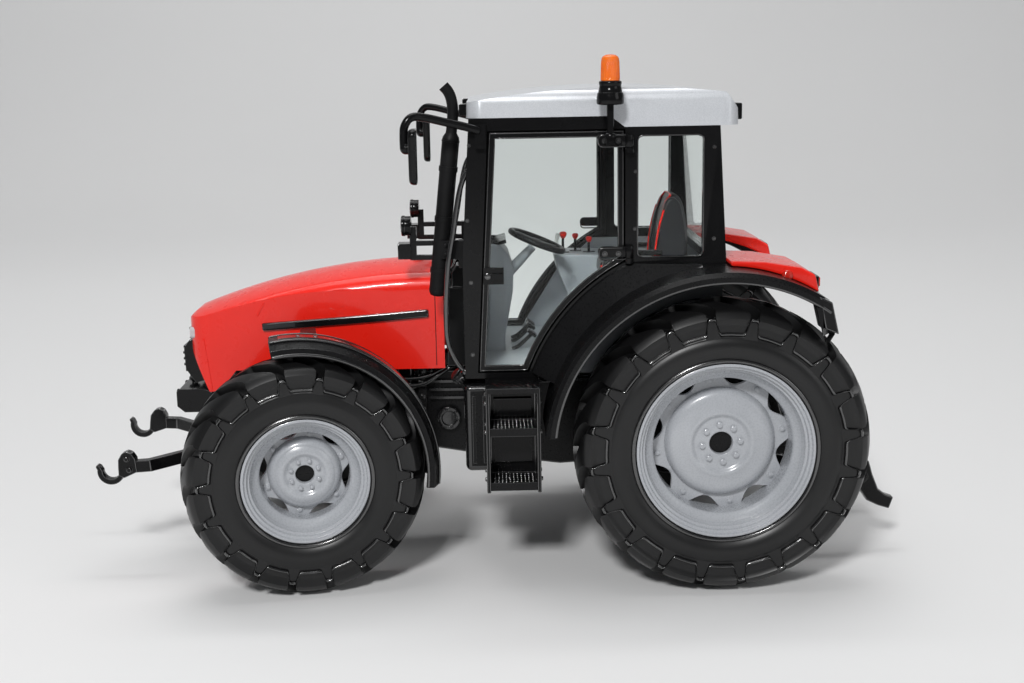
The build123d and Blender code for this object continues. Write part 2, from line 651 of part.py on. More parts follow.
strip_front_x = nose_x - 14.9
strip_rear_x = 12.4
with BuildPart() as strips:
    with BuildSketch(side(12.0)):
        Polygon(
            (strip_front_x, 44.8), (strip_front_x, 45.9), (20.0, 47.7), (strip_rear_x, 48.3),
            (strip_rear_x, 46.9), (20.0, 46.4), align=None)
    extrude(amount=24.0)
    with BuildSketch(Plane.XY.offset(40.0)):
        Polygon(
            (strip_rear_x, 11.25), (30.0, 10.95), (strip_front_x, 10.2), (strip_front_x, -10.2),
            (30.0, -10.95), (strip_rear_x, -11.25), align=None)
    extrude(amount=12.0, mode=Mode.INTERSECT)
    add(bonnet_form, mode=Mode.SUBTRACT)
keep(strips, "bonnet_strips")

grille_half_w = 5.0
with BuildPart() as grille:
    with BuildSketch(side(grille_half_w)):
        Polygon(
            (nose_x - 4.4, 34.9), (nose_x - 0.8, 33.8), (nose_x + 1.0, 36.6), (nose_x + 1.1, 40.6),
            (nose_x, 42.2), (nose_x - 4.4, 42.2), align=None)
    extrude(amount=2 * grille_half_w)
    add(bonnet_form, mode=Mode.SUBTRACT)
keep(grille, "nose_grille")

with BuildPart() as headlamps:
    for s in (1, -1):
        with BuildSketch(Plane.YZ.offset(nose_x - 2.4)):
            with Locations((s * 5.35, 43.9)):
                RectangleRounded(2.6, 2.2, 0.6)
        extrude(amount=3.0)
    add(bonnet_form, mode=Mode.SUBTRACT)
keep(headlamps, "headlamps")

# ---------------------------------------------------------------- cab frame
strap_t = 0.8
strap_r = 0.9             # half of a strap's height, and the round of its front end
strap_front_x = -19.1
strap_seat = 0.05         # clearance between a strap and the pillar behind it
# heights of a door's two hinge straps, the lower one just over the wheel arch
strap_z = (79.4, reach_z(door_arch_r, door_rear_x) + 1.75)


def door_outline(grow):
    """Face of the door in (x, z), grown on all sides; its lower rear corner follows the arch."""
    arch_r = door_arch_r - grow
    foot = door_foot_z - grow
    rear = door_rear_x - grow
    top = door_top_z + grow
    lean = (door_front_foot_x - door_front_top_x) / (door_top_z - door_foot_z)
    front_top = door_front_top_x + grow - lean * grow
    front_foot = door_front_foot_x + grow + lean * grow
    with BuildSketch() as face:
        Polygon((rear, top), (rear, foot), (front_foot, foot), (front_top, top), align=None)
        with Locations((rear_axle_x, rear_tyre_r)):
            Circle(arch_r, mode=Mode.SUBTRACT)
    return face.sketch


post_b_rear_x = -25.2
pane_rear_x = -36.8
pane_corner_r = 1.0
bonnet_arm_t = 1.0
frame_arch_r = arch_shoulder_r - 1.5
frame_foot_z = sill_z - 1.6           # lower edge of the side frame over the wheel
roof_step_x = -20.5

with BuildPart() as cab:
    for y in (cab_out_y, -cab_out_y + frame_t):
        with BuildSketch(side(y)):
            with BuildLine():
                low_arch = (reach_x(frame_arch_r, cab_floor_z), cab_floor_z)
                high_arch = (reach_x(frame_arch_r, frame_foot_z), frame_foot_z)
                Polyline(
                    high_arch, (post_c_foot_x, frame_foot_z), (post_c_foot_x, sill_z),
                    (post_c_top_x, cab_top_rear_z), (roof_step_x - 2.5, cab_top_rear_z),
                    (roof_step_x, cab_top_z), (post_a_top_x, cab_top_z), (post_a_foot_x, knee_z),
                    (post_a_foot_x, cab_floor_z), low_arch)
                ThreePointArc(low_arch, on_circle(rear_axle_x, rear_tyre_r, frame_arch_r, 42.0), high_arch)
            make_face()
            add(door_outline(gap), mode=Mode.SUBTRACT)
            with Locations(((post_b_rear_x + pane_rear_x) / 2, (sill_z + pane_top_z) / 2)):
                RectangleRounded(
                    post_b_rear_x - pane_rear_x, pane_top_z - sill_z, pane_corner_r, mode=Mode.SUBTRACT)
        extrude(amount=frame_t)
    # cross members. columns: middle x, middle z, depth along x, height
    for x, z, depth, height in (
        (post_a_top_x - 1.3, cab_top_z - 1.1, 2.6, 2.2),
        (post_a_foot_x - 1.0, knee_z - 1.5, 2.0, 1.6),
        (post_a_foot_x - 1.3, cab_floor_z + 0.7, 2.6, 1.4),
        (post_c_top_x + 1.2, cab_top_rear_z - 1.1, 2.4, 2.2),
        (post_c_foot_x + 1.3, sill_z - 0.8, 2.6, 1.6),
        (-10.0, cab_top_z - 0.7, 2.0, 1.4),
    ):
        with Locations((x, 0, z)):
            Box(depth, 2 * (cab_out_y - frame_t) + 0.2, height)
    # bonnet hinge: two arms down from the front cross member, each with a pin for the bonnet's eye
    for s in (1, -1):
        arm_y = s * (bonnet_eye_y - gap - bonnet_arm_t / 2)
        with BuildSketch(side(arm_y + bonnet_arm_t / 2)):
            Polygon(
                (post_a_foot_x - 0.2, knee_z - 1.0), (post_a_foot_x + 0.8, knee_z - 1.0),
                (bonnet_hinge_x - 2.0, bonnet_hinge_z - 0.7), (bonnet_hinge_x - 0.6, bonnet_hinge_z - 0.3),
                (bonnet_hinge_x + 0.6, bonnet_hinge_z), (bonnet_hinge_x, bonnet_hinge_z - 2.0),
                (bonnet_hinge_x - 2.6, bonnet_hinge_z - 2.0), (post_a_foot_x - 0.2, knee_z - 2.2), align=None)
            with Locations((bonnet_hinge_x, bonnet_hinge_z)):
                Circle(0.7)
        extrude(amount=bonnet_arm_t)
        with Locations((bonnet_hinge_x, s * (bonnet_eye_y + bonnet_eye_t / 2), bonnet_hinge_z)):
            Cylinder(bonnet_pin_r, bonnet_eye_t + 2 * gap, rotation=(90, 0, 0))
    # hinge posts: a lug on the centre pillar and a pin up through the door's knuckle
    for s in (1, -1):
        for z in strap_z:
            with Locations((hinge_x, s * hinge_y, z - 1.6)):
                Cylinder(0.75, 0.9)
            with Locations((hinge_x, s * hinge_y, z - 0.2)):
                Cylinder(0.30, 2.4)
            with Locations((hinge_x - 0.1, s * (hinge_y - 0.6), z - 1.6)):
                Box(1.3, 0.8, 0.9)
keep(cab, "cab_frame")

# ---------------------------------------------------------------- glass
inner_half_w = cab_out_y - frame_t
with BuildPart() as windscreen:
    with BuildSketch(side(inner_half_w - 0.05)):
        Polygon(
            (post_a_top_x - 1.2, cab_top_z - 2.2), (post_a_top_x - 1.2 + glass_t, cab_top_z - 2.2),
            (post_a_foot_x - 0.9 + glass_t, knee_z - 0.7), (post_a_foot_x - 0.9, knee_z - 0.7), align=None)
    extrude(amount=2 * inner_half_w - 0.1)
    # low panes either side of the bonnet
    low_in_y = bonnet_half_w + 1.6
    for low_y in (low_in_y, -inner_half_w + 0.05):
        with Locations((post_a_foot_x - 1.0, low_y + (inner_half_w - low_in_y - 0.05) / 2, 47.8)):
            Box(glass_t, inner_half_w - low_in_y - 0.05, 17.5)
keep(windscreen, "windscreen")

with BuildPart() as rear_window:
    with BuildSketch(side(inner_half_w - 0.05)):
        Polygon(
            (post_c_top_x + 0.7, cab_top_rear_z - 2.2), (post_c_top_x + 0.7 + glass_t, cab_top_rear_z - 2.2),
            (post_c_foot_x + 1.0 + glass_t, sill_z), (post_c_foot_x + 1.0, sill_z), align=None)
    extrude(amount=2 * inner_half_w - 0.1)
keep(rear_window, "rear_window")

pane_y = cab_out_y - 0.6
with BuildPart() as quarter_panes:
    for y in (pane_y, -pane_y + glass_t):
        with BuildSketch(side(y)):
            with Locations(((post_b_rear_x + pane_rear_x) / 2, (sill_z + pane_top_z) / 2)):
                RectangleRounded(
                    post_b_rear_x - pane_rear_x - 0.04, pane_top_z - sill_z - 0.04, pane_corner_r)
        extrude(amount=glass_t)
keep(quarter_panes, "quarter_windows")

# ---------------------------------------------------------------- doors
beacon_x = -20.2
beacon_y = cab_out_y + 3.2
stalk_r = 0.6

with BuildPart() as door:
    with BuildSketch(side(cab_out_y)):
        add(door_outline(0))
        add(door_outline(-door_rim), mode=Mode.SUBTRACT)
    extrude(amount=door_t)
    # hinge straps on the outer face, each ending in a knuckle on the hinge line
    for z in strap_z:
        with BuildSketch(side(cab_out_y + strap_t)):
            with Locations((hinge_x, z)):
                Rectangle(strap_front_x - hinge_x, 2 * strap_r, align=(Align.MIN, Align.CENTER))
            with Locations((strap_front_x, z)):
                Circle(strap_r)
        extrude(amount=strap_t - strap_seat)
        with Locations((hinge_x, hinge_y, z)):
            Cylinder(0.75, 2.0)
        with Locations((hinge_x + 0.6, hinge_y - 0.2, z)):
            Box(1.2, 0.7, 1.8)
        with Locations((hinge_x, hinge_y, z)):
            Cylinder(0.35, 4.0, mode=Mode.SUBTRACT)
    # pull handle
    with Locations((0.2, cab_out_y + 0.3, 56.2)):
        Box(3.6, 0.6, 3.0)
    with Locations((-0.5, cab_out_y + 1.0, 56.2)):
        Box(1.8, 0.8, 0.9)

with BuildPart() as door_right:
    add(door.part.mirror(Plane.XZ))
keep(door_right, "door_right")
with BuildPart() as door_left:
    add(door.part)
    # socket for the beacon's stalk, on the upper strap
    with Locations((beacon_x, (cab_out_y + strap_t + beacon_y) / 2, strap_z[0])):
        Box(1.4, beacon_y - cab_out_y - strap_t + 0.4, 1.4)
keep(door_left, "door_left")

with BuildPart() as door_pane:
    with BuildSketch(side(cab_out_y - 0.4)):
        add(door_outline(-door_rim - 0.02))
    extrude(amount=glass_t)
keep_pair(door_pane, "door_glass")

# ---------------------------------------------------------------- beacon, on the left door's upper strap
beacon_base_z = 85.6
beacon_lens_z = 89.6
beacon_top_z = 94.0
with BuildPart() as beacon_base:
    with Locations((beacon_x, beacon_y, (strap_z[0] + 0.72 + beacon_base_z) / 2)):
        Cylinder(stalk_r, beacon_base_z - strap_z[0] - 0.72)
    with BuildSketch(Plane.XZ.offset(-beacon_y)):
        Polygon(
            (beacon_x, beacon_base_z), (beacon_x + 2.3, beacon_base_z),
            (beacon_x + 2.35, beacon_base_z + 1.3), (beacon_x + 2.2, beacon_base_z + 2.0),
            (beacon_x + 1.75, beacon_lens_z), (beacon_x, beacon_lens_z), align=None)
    revolve(axis=Axis((beacon_x, beacon_y, 0), (0, 0, 1)))
keep(beacon_base, "beacon_base")
with BuildPart() as beacon_lens:
    with Locations((beacon_x, beacon_y, (beacon_lens_z + beacon_top_z) / 2 + 0.01)):
        Cylinder(1.65, beacon_top_z - beacon_lens_z - 0.02)
    fillet(beacon_lens.faces().sort_by(Axis.Z)[-1].edges(), 0.5)
keep(beacon_lens, "beacon_lens")

# ---------------------------------------------------------------- roof and its lamps
roof_front_x = 4.4
roof_rear_x = -43.1
roof_corner_r = 3.0
roof_edge_r = 2.4
roof_top_z = 88.45
with BuildPart() as roof:
    with BuildSketch(side(roof_half_w)):
        with BuildLine():
            Polyline(
                (-40.6, 87.4), (roof_rear_x + 0.3, 84.6), (roof_rear_x, cab_top_rear_z + 0.02),
                (roof_step_x - 2.5, cab_top_rear_z + 0.02), (roof_step_x, cab_top_z + 0.02),
                (roof_front_x, cab_top_z + 0.02), (roof_front_x - 0.1, 86.3))
            ThreePointArc((roof_front_x - 0.1, 86.3), (-18.0, roof_top_z), (-40.6, 87.4))
        make_face()
    extrude(amount=2 * roof_half_w)
    # rounded corners in plan
    with BuildSketch(Plane.XY.offset(cab_top_rear_z - 1.0)):
        with Locations(((roof_front_x + roof_rear_x) / 2, 0)):
            RectangleRounded(roof_front_x - roof_rear_x, 2 * roof_half_w, roof_corner_r)
    extrude(amount=10.0, mode=Mode.INTERSECT)
    # rounded long edges, from the cross-section
    with BuildSketch(Plane.YZ.offset(roof_rear_x - 1.0)):
        with Locations((0, roof_top_z - 5.0)):
            RectangleRounded(2 * roof_half_w, 10.0, roof_edge_r)
    extrude(amount=roof_front_x - roof_rear_x + 2.0, mode=Mode.INTERSECT)
keep(roof, "roof")

# ---------------------------------------------------------------- cab tub and what stands in it
tub_wall_y = flare_in_y - 0.1
seat_foot_z = 51.6
floor_step_x = rear_axle_x + flare_out_r + 0.1   # the floor is narrower behind here, between the wheels
firewall_half_w = bonnet_half_w + 1.5
firewall_top_z = knee_z - 2.32
with BuildPart() as tub:
    # floor
    with BuildSketch(Plane.XY.offset(cab_floor_z)):
        Polygon(
            (post_a_foot_x - 2.7, inner_half_w - 0.05), (post_a_foot_x - 2.7, -inner_half_w + 0.05),
            (floor_step_x, -inner_half_w + 0.05), (floor_step_x, -tub_wall_y), (post_c_foot_x, -tub_wall_y),
            (post_c_foot_x, tub_wall_y), (floor_step_x, tub_wall_y), (floor_step_x, inner_half_w - 0.05),
            align=None)
    extrude(amount=1.2)
    # inner walls over the wheels, with a sloping front edge
    for y in (tub_wall_y, -tub_wall_y + 0.8):
        with BuildSketch(side(y)):
            Polygon(
                (-5.0, cab_floor_z), (-7.0, 41.0), (-13.0, 50.5), (-20.5, 57.2), (post_c_foot_x, 57.2),
                (post_c_foot_x, cab_floor_z), align=None)
        extrude(amount=0.8)
    # rear wall and the shelf behind the seat
    with Locations((post_c_foot_x + 0.5, 0, (cab_floor_z + 57.2) / 2)):
        Box(1.0, 2 * tub_wall_y, 57.2 - cab_floor_z)
    with Locations((-37.0, 0, 51.0)):
        Box(8.0, 2 * tub_wall_y, 1.0)
    # firewall between the bonnet and the cab
    with Locations((post_a_foot_x - 2.3, 0, (cab_floor_z + firewall_top_z) / 2)):
        Box(0.6, 2 * firewall_half_w, firewall_top_z - cab_floor_z)
    # pedestal under the seat
    with BuildSketch(Plane.XY.offset(cab_floor_z + 1.0)):
        with Locations((-26.5, 0)):
            Rectangle(9.0, 8.0)
    extrude(amount=seat_foot_z - cab_floor_z - 1.0, taper=-2)
    add(cab.part, mode=Mode.SUBTRACT)
keep(tub, "cab_tub")

# black scuttle that fills the space between the firewall and the bonnet's rear edge
scuttle_front_x = bonnet_rear_x - 0.5
scuttle_half_w = bonnet_half_w - 0.6
scuttle_top_z = bonnet_hinge_z - 2.5
with BuildPart() as scuttle:
    with BuildSketch(side(scuttle_half_w)):
        Polygon(
            (post_a_foot_x - 1.98, cab_floor_z - 0.4), (scuttle_front_x, cab_floor_z - 0.4),
            (scuttle_front_x, scuttle_top_z), (post_a_foot_x - 1.98, scuttle_top_z), align=None)
    extrude(amount=2 * scuttle_half_w)
    # cheeks either side of the hinge arms
    for y in (scuttle_half_w - 0.4, -bonnet_eye_y - 2.0):
        with BuildSketch(side(y)):
            Polygon(
                (post_a_foot_x + 0.02, scuttle_top_z - 1.0), (scuttle_front_x - 1.1, scuttle_top_z - 1.0),
                (scuttle_front_x - 1.1, bonnet_hinge_z + 0.1), (post_a_foot_x + 1.4, knee_z - 2.6),
                (post_a_foot_x + 0.02, knee_z - 2.6), align=None)
        extrude(amount=scuttle_half_w - 0.4 - bonnet_eye_y - 2.0)
    add(cab.part, mode=Mode.SUBTRACT)
keep(scuttle, "scuttle")

with BuildPart() as dash:
    with BuildSketch(side(5.6)):
        Polygon(
            (2.9, 59.0), (0.6, 59.8), (-2.8, 55.6), (-4.2, 49.0), (-3.2, 45.2), (0.4, 42.6), (1.6, 38.82),
            (2.9, 38.82), align=None)
    extrude(amount=11.2)
    # steering column
    with BuildSketch(Plane(origin=(-2.2, 0, 53.0), x_dir=(0, 1, 0), z_dir=(-0.62, 0, 0.78))):
        Circle(1.3)
    extrude(amount=6.4)
keep(dash, "dash_console")

wheel_r = 5.9
wheel_lean = 22.0
wheel_centre = (-8.3, 0, 59.2)
with BuildPart() as steering_wheel:
    Torus(wheel_r - 0.45, 0.45)
    with Locations((0, 0, -0.5)):
        Cylinder(1.3, 0.9)
    with BuildSketch(Plane.XY.offset(-0.55)):
        with PolarLocations(0, 3):
            with Locations(((wheel_r - 0.4) / 2, 0)):
                Rectangle(wheel_r - 0.5, 0.8)
    extrude(amount=0.7)
with BuildPart() as placed_wheel:
    add(steering_wheel.part.rotate(Axis.Y, -wheel_lean).translate(wheel_centre))
keep(placed_wheel, "steering_wheel")

seat_half_w = 6.0
with BuildPart() as seat:
    with BuildSketch(side(seat_half_w)):
        Polygon(
            (-20.0, 51.6), (-19.4, 54.2), (-21.0, 55.4), (-30.0, 54.8), (-32.6, 57.0), (-34.2, 63.0),
            (-34.6, 67.0), (-36.2, 67.2), (-36.8, 62.0), (-35.6, 55.6), (-32.6, 51.6), align=None)
    extrude(amount=2 * seat_half_w)
    fillet(seat.edges().filter_by(Axis.Y), 0.4)
keep(seat, "seat")

with BuildPart() as console:
    # right-hand lever console and the narrower left-hand one. columns: low y, high y, top z, front x
    for low_y, high_y, top_z, front_x in (
        (-tub_wall_y + 0.9, -8.4, 55.4, -12.0), (12.2, tub_wall_y - 0.9, 53.4, -18.0),
    ):
        with BuildSketch(side(high_y)):
            Polygon(
                (front_x, top_z), (front_x - 0.6, top_z - 3.0), (front_x - 6.0, cab_floor_z + 1.22),
                (-33.0, cab_floor_z + 1.22), (-33.0, top_z - 0.6), align=None)
        extrude(amount=high_y - low_y)
keep(console, "side_consoles")

with BuildPart() as levers:
    # columns: x, y, foot z, height, radius of the knob
    for x, y, foot_z, height, knob_r in (
        (-14.0, -11.0, 55.42, 3.4, 0.75),
        (-16.6, -13.4, 55.42, 2.8, 0.65),
        (-19.2, -11.2, 55.42, 2.4, 0.65),
    ):
        with Locations((x, y, foot_z + height / 2)):
            Cylinder(0.35, height)
        with Locations((x, y, foot_z + height)):
            Sphere(knob_r)
    # pedals, hung from the front of the floor
    for y in (-3.6, 3.6, -7.0):
        with BuildSketch(side(y + 1.1)):
            Polygon((-2.6, 38.82), (-3.8, 38.82), (-7.4, 41.6), (-6.8, 42.5), align=None)
        extrude(amount=2.2)
keep(levers, "levers_and_pedals")

# ---------------------------------------------------------------- fenders
flap_foot_z = rear_tyre_r + 19.3 / 31.4 * flare_out_r
flap_lean_x = -1.5        # how far the flap's foot stands behind its top
with BuildPart() as flare:
    # band over the tyre, with a deeper outer lip
    with BuildSketch(about_axle(rear_axle_x, rear_tyre_r, arch_foot_deg)):
        Polygon(
            (flare_in_y, flare_in_r), (flare_out_y - 1.0, flare_in_r),
            (flare_out_y - 0.9, flare_in_r - 0.6), (flare_out_y, flare_in_r - 0.6),
            (flare_out_y, flare_out_r - 0.7), (flare_out_y - 0.8, flare_out_r),
            (flare_in_y, flare_out_r), align=None)
    revolve(axis=axle_line(rear_axle_x, rear_tyre_r), revolution_arc=arch_tail_deg - arch_foot_deg)
    # shoulder that rises to the cab side below the door
    with BuildSketch(about_axle(rear_axle_x, rear_tyre_r, shoulder_foot_deg)):
        Polygon(
            (cab_out_y + 0.02, flare_out_r - 0.2), (cab_out_y + 0.02, arch_shoulder_r),
            (cab_out_y + 0.7, arch_shoulder_r - 0.2), (cab_out_y + 3.9, flare_out_r - 0.2), align=None)
    revolve(axis=axle_line(rear_axle_x, rear_tyre_r), revolution_arc=84.0 - shoulder_foot_deg)
    # flap at the tail, its outer corner drawn forwards
    flap_top_x, flap_top_z = on_circle(rear_axle_x, rear_tyre_r, flare_out_r, arch_tail_deg)
    corner_y = flare_out_y - 6.3
    with BuildSketch(Plane.XY.offset(flap_top_z - 0.2)):
        Polygon(
            (flap_top_x + 0.2, flare_in_y), (flap_top_x + 0.2, corner_y), (flap_top_x + 2.7, flare_out_y),
            (flap_top_x + 2.7 + flare_t, flare_out_y), (flap_top_x + 0.2 + flare_t, corner_y - 0.3),
            (flap_top_x + 0.2 + flare_t, flare_in_y), align=None)
    extrude(amount=flap_top_z - flap_foot_z, dir=(flap_lean_x, 0, flap_foot_z - flap_top_z))
    with BuildSketch(Plane.XY.offset(flap_foot_z)):
        Polygon(
            (flap_top_x - 0.1, corner_y), (flap_top_x + 2.6, flare_out_y + 0.3),
            (flap_top_x - 5.0, flare_out_y + 0.3), (flap_top_x - 5.0, corner_y), align=None)
    extrude(amount=flap_top_z + 2.0 - flap_foot_z, mode=Mode.SUBTRACT)
    # the shoulder stops level with the window sill
    with Locations((rear_axle_x, flare_out_y - 6.3, sill_z - 0.9 + 5.0)):
        Box(80.0, 30.0, 10.0, mode=Mode.SUBTRACT)
    # the band stops at the cab's side frame
    add(cab.part, mode=Mode.SUBTRACT)
keep_both(flare, "fender_flares")

fender_in_y = 12.5
fender_out_y = 27.0
fender_front_x = post_c_foot_x - 0.02
fender_rear_x = rear_axle_x - 17.1 / 31.4 * flare_out_r
fender_r = flare_out_r + 0.02
with BuildPart() as fender:
    with BuildSketch(side(fender_out_y)):
        with BuildLine():
            low = (fender_rear_x, reach_z(fender_r, fender_rear_x))
            high = (fender_front_x, reach_z(fender_r, fender_front_x))
            Polyline(
                high, (fender_front_x, sill_z - 0.3), (fender_rear_x + 9.6, sill_z - 0.6),
                (fender_rear_x + 3.2, sill_z - 1.7), (fender_rear_x + 0.8, sill_z - 3.0), low)
            ThreePointArc(low, (-49.0, reach_z(fender_r, -49.0)), high)
        make_face()
    extrude(amount=fender_out_y - fender_in_y)
keep_both(fender, "rear_fenders")

with BuildPart() as tail_lamps:
    for s in (1, -1):
        # round lamp on the outer side, oblong lamp at the back
        with Locations((fender_rear_x + 5.8, s * fender_out_y, sill_z - 3.0)):
            Cylinder(1.1, 1.2, rotation=(90, 0, 0))
        with Locations((fender_rear_x - 0.1, s * (fender_out_y - 5.0), sill_z - 4.6)):
            Box(1.2, 6.0, 2.0)
    for carrier in (fender, flare):
        add(carrier.part, mode=Mode.SUBTRACT)
        add(carrier.part.mirror(Plane.XZ), mode=Mode.SUBTRACT)
keep(tail_lamps, "tail_lamps")

# ---------------------------------------------------------------- steps, tanks
step_front_x = 2.1
step_rear_x = rear_axle_x + flare_out_r + 0.6
step_in_y = cab_out_y + 0.8
step_out_y = step_in_y + 7.8
step_plate_t = 0.7
step_foot_z = 18.8
step_top_z = cab_floor_z - 0.02

with BuildPart() as steps:
    for x in (step_front_x - step_plate_t, step_rear_x):
        with BuildSketch(Plane.YZ.offset(x)):
            Polygon(
                (step_in_y, step_top_z), (step_out_y - 1.2, step_top_z), (step_out_y, step_top_z - 3.0),
                (step_out_y, step_foot_z), (step_in_y, step_foot_z), align=None)
        extrude(amount=step_plate_t)
    for z in (step_foot_z + 0.9, 29.6, step_top_z - 0.5):
        with Locations(((step_front_x + step_rear_x) / 2, (step_in_y + step_out_y) / 2 - 0.4, z)):
            Box(step_front_x - step_rear_x, step_out_y - step_in_y - 0.8, 1.0)
    # hanger plate behind the treads, up under the cab's side frame
    with Locations(((step_front_x + step_rear_x) / 2, step_in_y - 0.3, (step_foot_z + step_top_z) / 2)):
        Box(step_front_x - step_rear_x, 0.7, step_top_z - step_foot_z)
    with Locations(((step_front_x + step_rear_x) / 2, step_in_y - 1.4, step_top_z - 0.5)):
        Box(step_front_x - step_rear_x, 2.6, 1.0)
keep_both(steps, "steps")

tank_front_x = 5.9
tank_rear_x = rear_axle_x + flare_out_r + 1.1
tank_out_y = step_in_y - 0.7
tank_in_y = 8.0
tank_top_z = 36.4
tank_foot_z = 20.2
cap_y = tank_out_y - 3.9
with BuildPart() as tank:
    with Locations((
            (tank_front_x + tank_rear_x) / 2, (tank_in_y + tank_out_y) / 2, (tank_foot_z + tank_top_z) / 2)):
        Box(tank_front_x - tank_rear_x, tank_out_y - tank_in_y, tank_top_z - tank_foot_z)
    fillet(tank.edges().filter_by(Axis.Y), 1.2)
    # straps up to the cab floor
    for x in (tank_rear_x + 3.0, 2.6):
        with Locations((x, cab_out_y - 7.4, (tank_top_z + step_top_z) / 2)):
            Box(1.6, 8.0, step_top_z - tank_top_z)
    # bracket to the gearbox
    with Locations((-1.0, (gearbox_half_w + tank_in_y) / 2 + 0.01, 28.0)):
        Box(6.0, tank_in_y - gearbox_half_w - 0.02, 5.0)
with BuildPart() as box_right:
    add(tank.part.mirror(Plane.XZ))
keep(box_right, "battery_box")
with BuildPart() as tank_left:
    add(tank.part)
    with BuildSketch(Plane(origin=(5.1, cap_y, 35.0), x_dir=(0, 1, 0), z_dir=(0.62, 0, 0.78))):
        Circle(1.1)
    extrude(amount=4.0)
    with BuildSketch(Plane(origin=(7.2, cap_y, 37.65), x_dir=(0, 1, 0), z_dir=(0.62, 0, 0.78))):
        Circle(1.6)
    extrude(amount=1.3)
keep(tank_left, "fuel_tank")

# ---------------------------------------------------------------- exhaust, rails, mirrors, lamps
exhaust_y = cab_out_y - 4.8
muffler_r = 1.6
pipe_r = 1.0
muffler_low = (10.4, exhaust_y, 52.0)
muffler_high = (7.1, exhaust_y, 81.0)
exhaust_path = ((7.1, 81.0), (6.7, 85.2), (7.0, 87.6), (8.3, 89.2))

with BuildPart() as exhaust:
    lean = Vector(*muffler_high) - Vector(*muffler_low)
    with BuildSketch(Plane(origin=muffler_low, x_dir=(0, 1, 0), z_dir=lean.normalized())):
        Circle(muffler_r)
    extrude(amount=lean.length)
    fillet(exhaust.edges(), 0.5)
    with BuildLine():
        pipe_line = FilletPolyline(*[(x, exhaust_y, z) for x, z in exhaust_path], radius=2.2)
    with BuildSketch(Plane(origin=pipe_line @ 0, x_dir=(0, 1, 0), z_dir=pipe_line % 0)):
        Circle(pipe_r)
    sweep(path=pipe_line)
    # clamp that holds the muffler to the front post
    with Locations((6.9, exhaust_y + 1.6, 60.6)):
        Box(5.6, 1.6, 3.6)
    with Locations((4.75, inner_half_w - 0.4, 60.6)):
        Box(1.3, 3.4, 3.6)
    # mouth of the pipe
    with BuildSketch(Plane(origin=pipe_line @ 1, x_dir=(0, 1, 0), z_dir=pipe_line % 1)):
        Circle(pipe_r - 0.3)
    extrude(amount=-1.6, mode=Mode.SUBTRACT)
    add(cab.part, mode=Mode.SUBTRACT)
    add(windscreen.part, mode=Mode.SUBTRACT)
keep(exhaust, "exhaust")

rail_r = 0.5
rail_y = cab_out_y - 1.0
rail_path = (
    (3.0, 75.0), (4.9, 73.6), (6.0, 70.4), (8.2, 57.8), (8.8, 50.0), (8.7, 44.4), (7.2, 40.6), (5.2, 38.4))
with BuildPart() as rail:
    with BuildLine():
        rail_line = FilletPolyline(*[(x, rail_y, z) for x, z in rail_path], radius=1.2)
    with BuildSketch(Plane(origin=rail_line @ 0, x_dir=(0, 1, 0), z_dir=rail_line % 0)):
        Circle(rail_r)
    sweep(path=rail_line)
    add(cab.part, mode=Mode.SUBTRACT)
keep_both(rail, "handrails")

mirror_y = cab_out_y + 5.0
mirror_path = (
    (2.2, cab_out_y + 1.0, 81.6), (7.4, cab_out_y + 2.4, 83.0), (13.2, cab_out_y + 4.4, 84.5),
    (14.9, mirror_y, 82.6), (14.9, mirror_y, 78.6))
with BuildPart() as mirror_arm:
    with BuildLine():
        mirror_line = FilletPolyline(*mirror_path, radius=0.8)
    with BuildSketch(Plane(origin=mirror_line @ 0, x_dir=(0, 0, 1), z_dir=mirror_line % 0)):
        Circle(0.65)
    sweep(path=mirror_line)
    # socket on the front post
    with Locations((2.0, cab_out_y + 0.6, 80.6)):
        Box(1.9, 1.2, 4.2)
    # mirror head
    with Locations((13.5, mirror_y, 77.6)):
        Box(1.3, 5.4, 9.4)
    with Locations((14.7, mirror_y, 79.0)):
        Sphere(1.0)
keep_both(mirror_arm, "mirrors")

lamp_y = exhaust_y - 3.0
roof_lamp_y = roof_half_w - 6.1
front_lamp_y = roof_half_w - 4.6
with BuildPart() as work_lamps:
    # bracket on the front cross member, with a round and a square lamp
    for s in (1, -1):
        with Locations((post_a_foot_x + 0.42, s * lamp_y, 59.2)):
            Box(0.8, 1.6, 5.0)
        for z in (61.2, 58.6):
            with Locations((10.6, s * lamp_y, z)):
                Box(8.8, 0.9, 0.9)
        with Locations((14.6, s * lamp_y, 61.2)):
            Box(1.2, 1.0, 6.0)
        with Locations((15.7, s * lamp_y, 64.4)):
            Cylinder(1.75, 1.6, rotation=(0, 90, 0))
        with Locations((16.1, s * lamp_y, 59.9)):
            Box(2.0, 3.2, 2.8)
    # lamps on the roof's ends. columns: middle x, middle y, middle z, depth, width, height
    for x, y, z, depth, width, height in (
        (roof_rear_x - 0.2, roof_lamp_y, 83.9, 1.2, 4.2, 2.8),
        (roof_rear_x - 0.2, -roof_lamp_y, 83.9, 1.2, 4.2, 2.8),
        (roof_front_x + 0.5, front_lamp_y, 85.0, 1.2, 3.4, 2.0),
        (roof_front_x + 0.5, -front_lamp_y, 85.0, 1.2, 3.4, 2.0),
    ):
        with Locations((x, y, z)):
            Box(depth, width, height)
    add(roof.part, mode=Mode.SUBTRACT)
keep(work_lamps, "work_lamps")
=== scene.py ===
"""Looks of a 1:32 scale model farm tractor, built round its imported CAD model.

Lengths are in millimetres in the CAD's own frame, +X forwards, +Y to the tractor's left, +Z up,
until a piece is finished: MM then turns them into metres.
"""
import json
import math
from types import SimpleNamespace

import bmesh
import bpy
from mathutils import Matrix, Vector
from mathutils.bvhtree import BVHTree

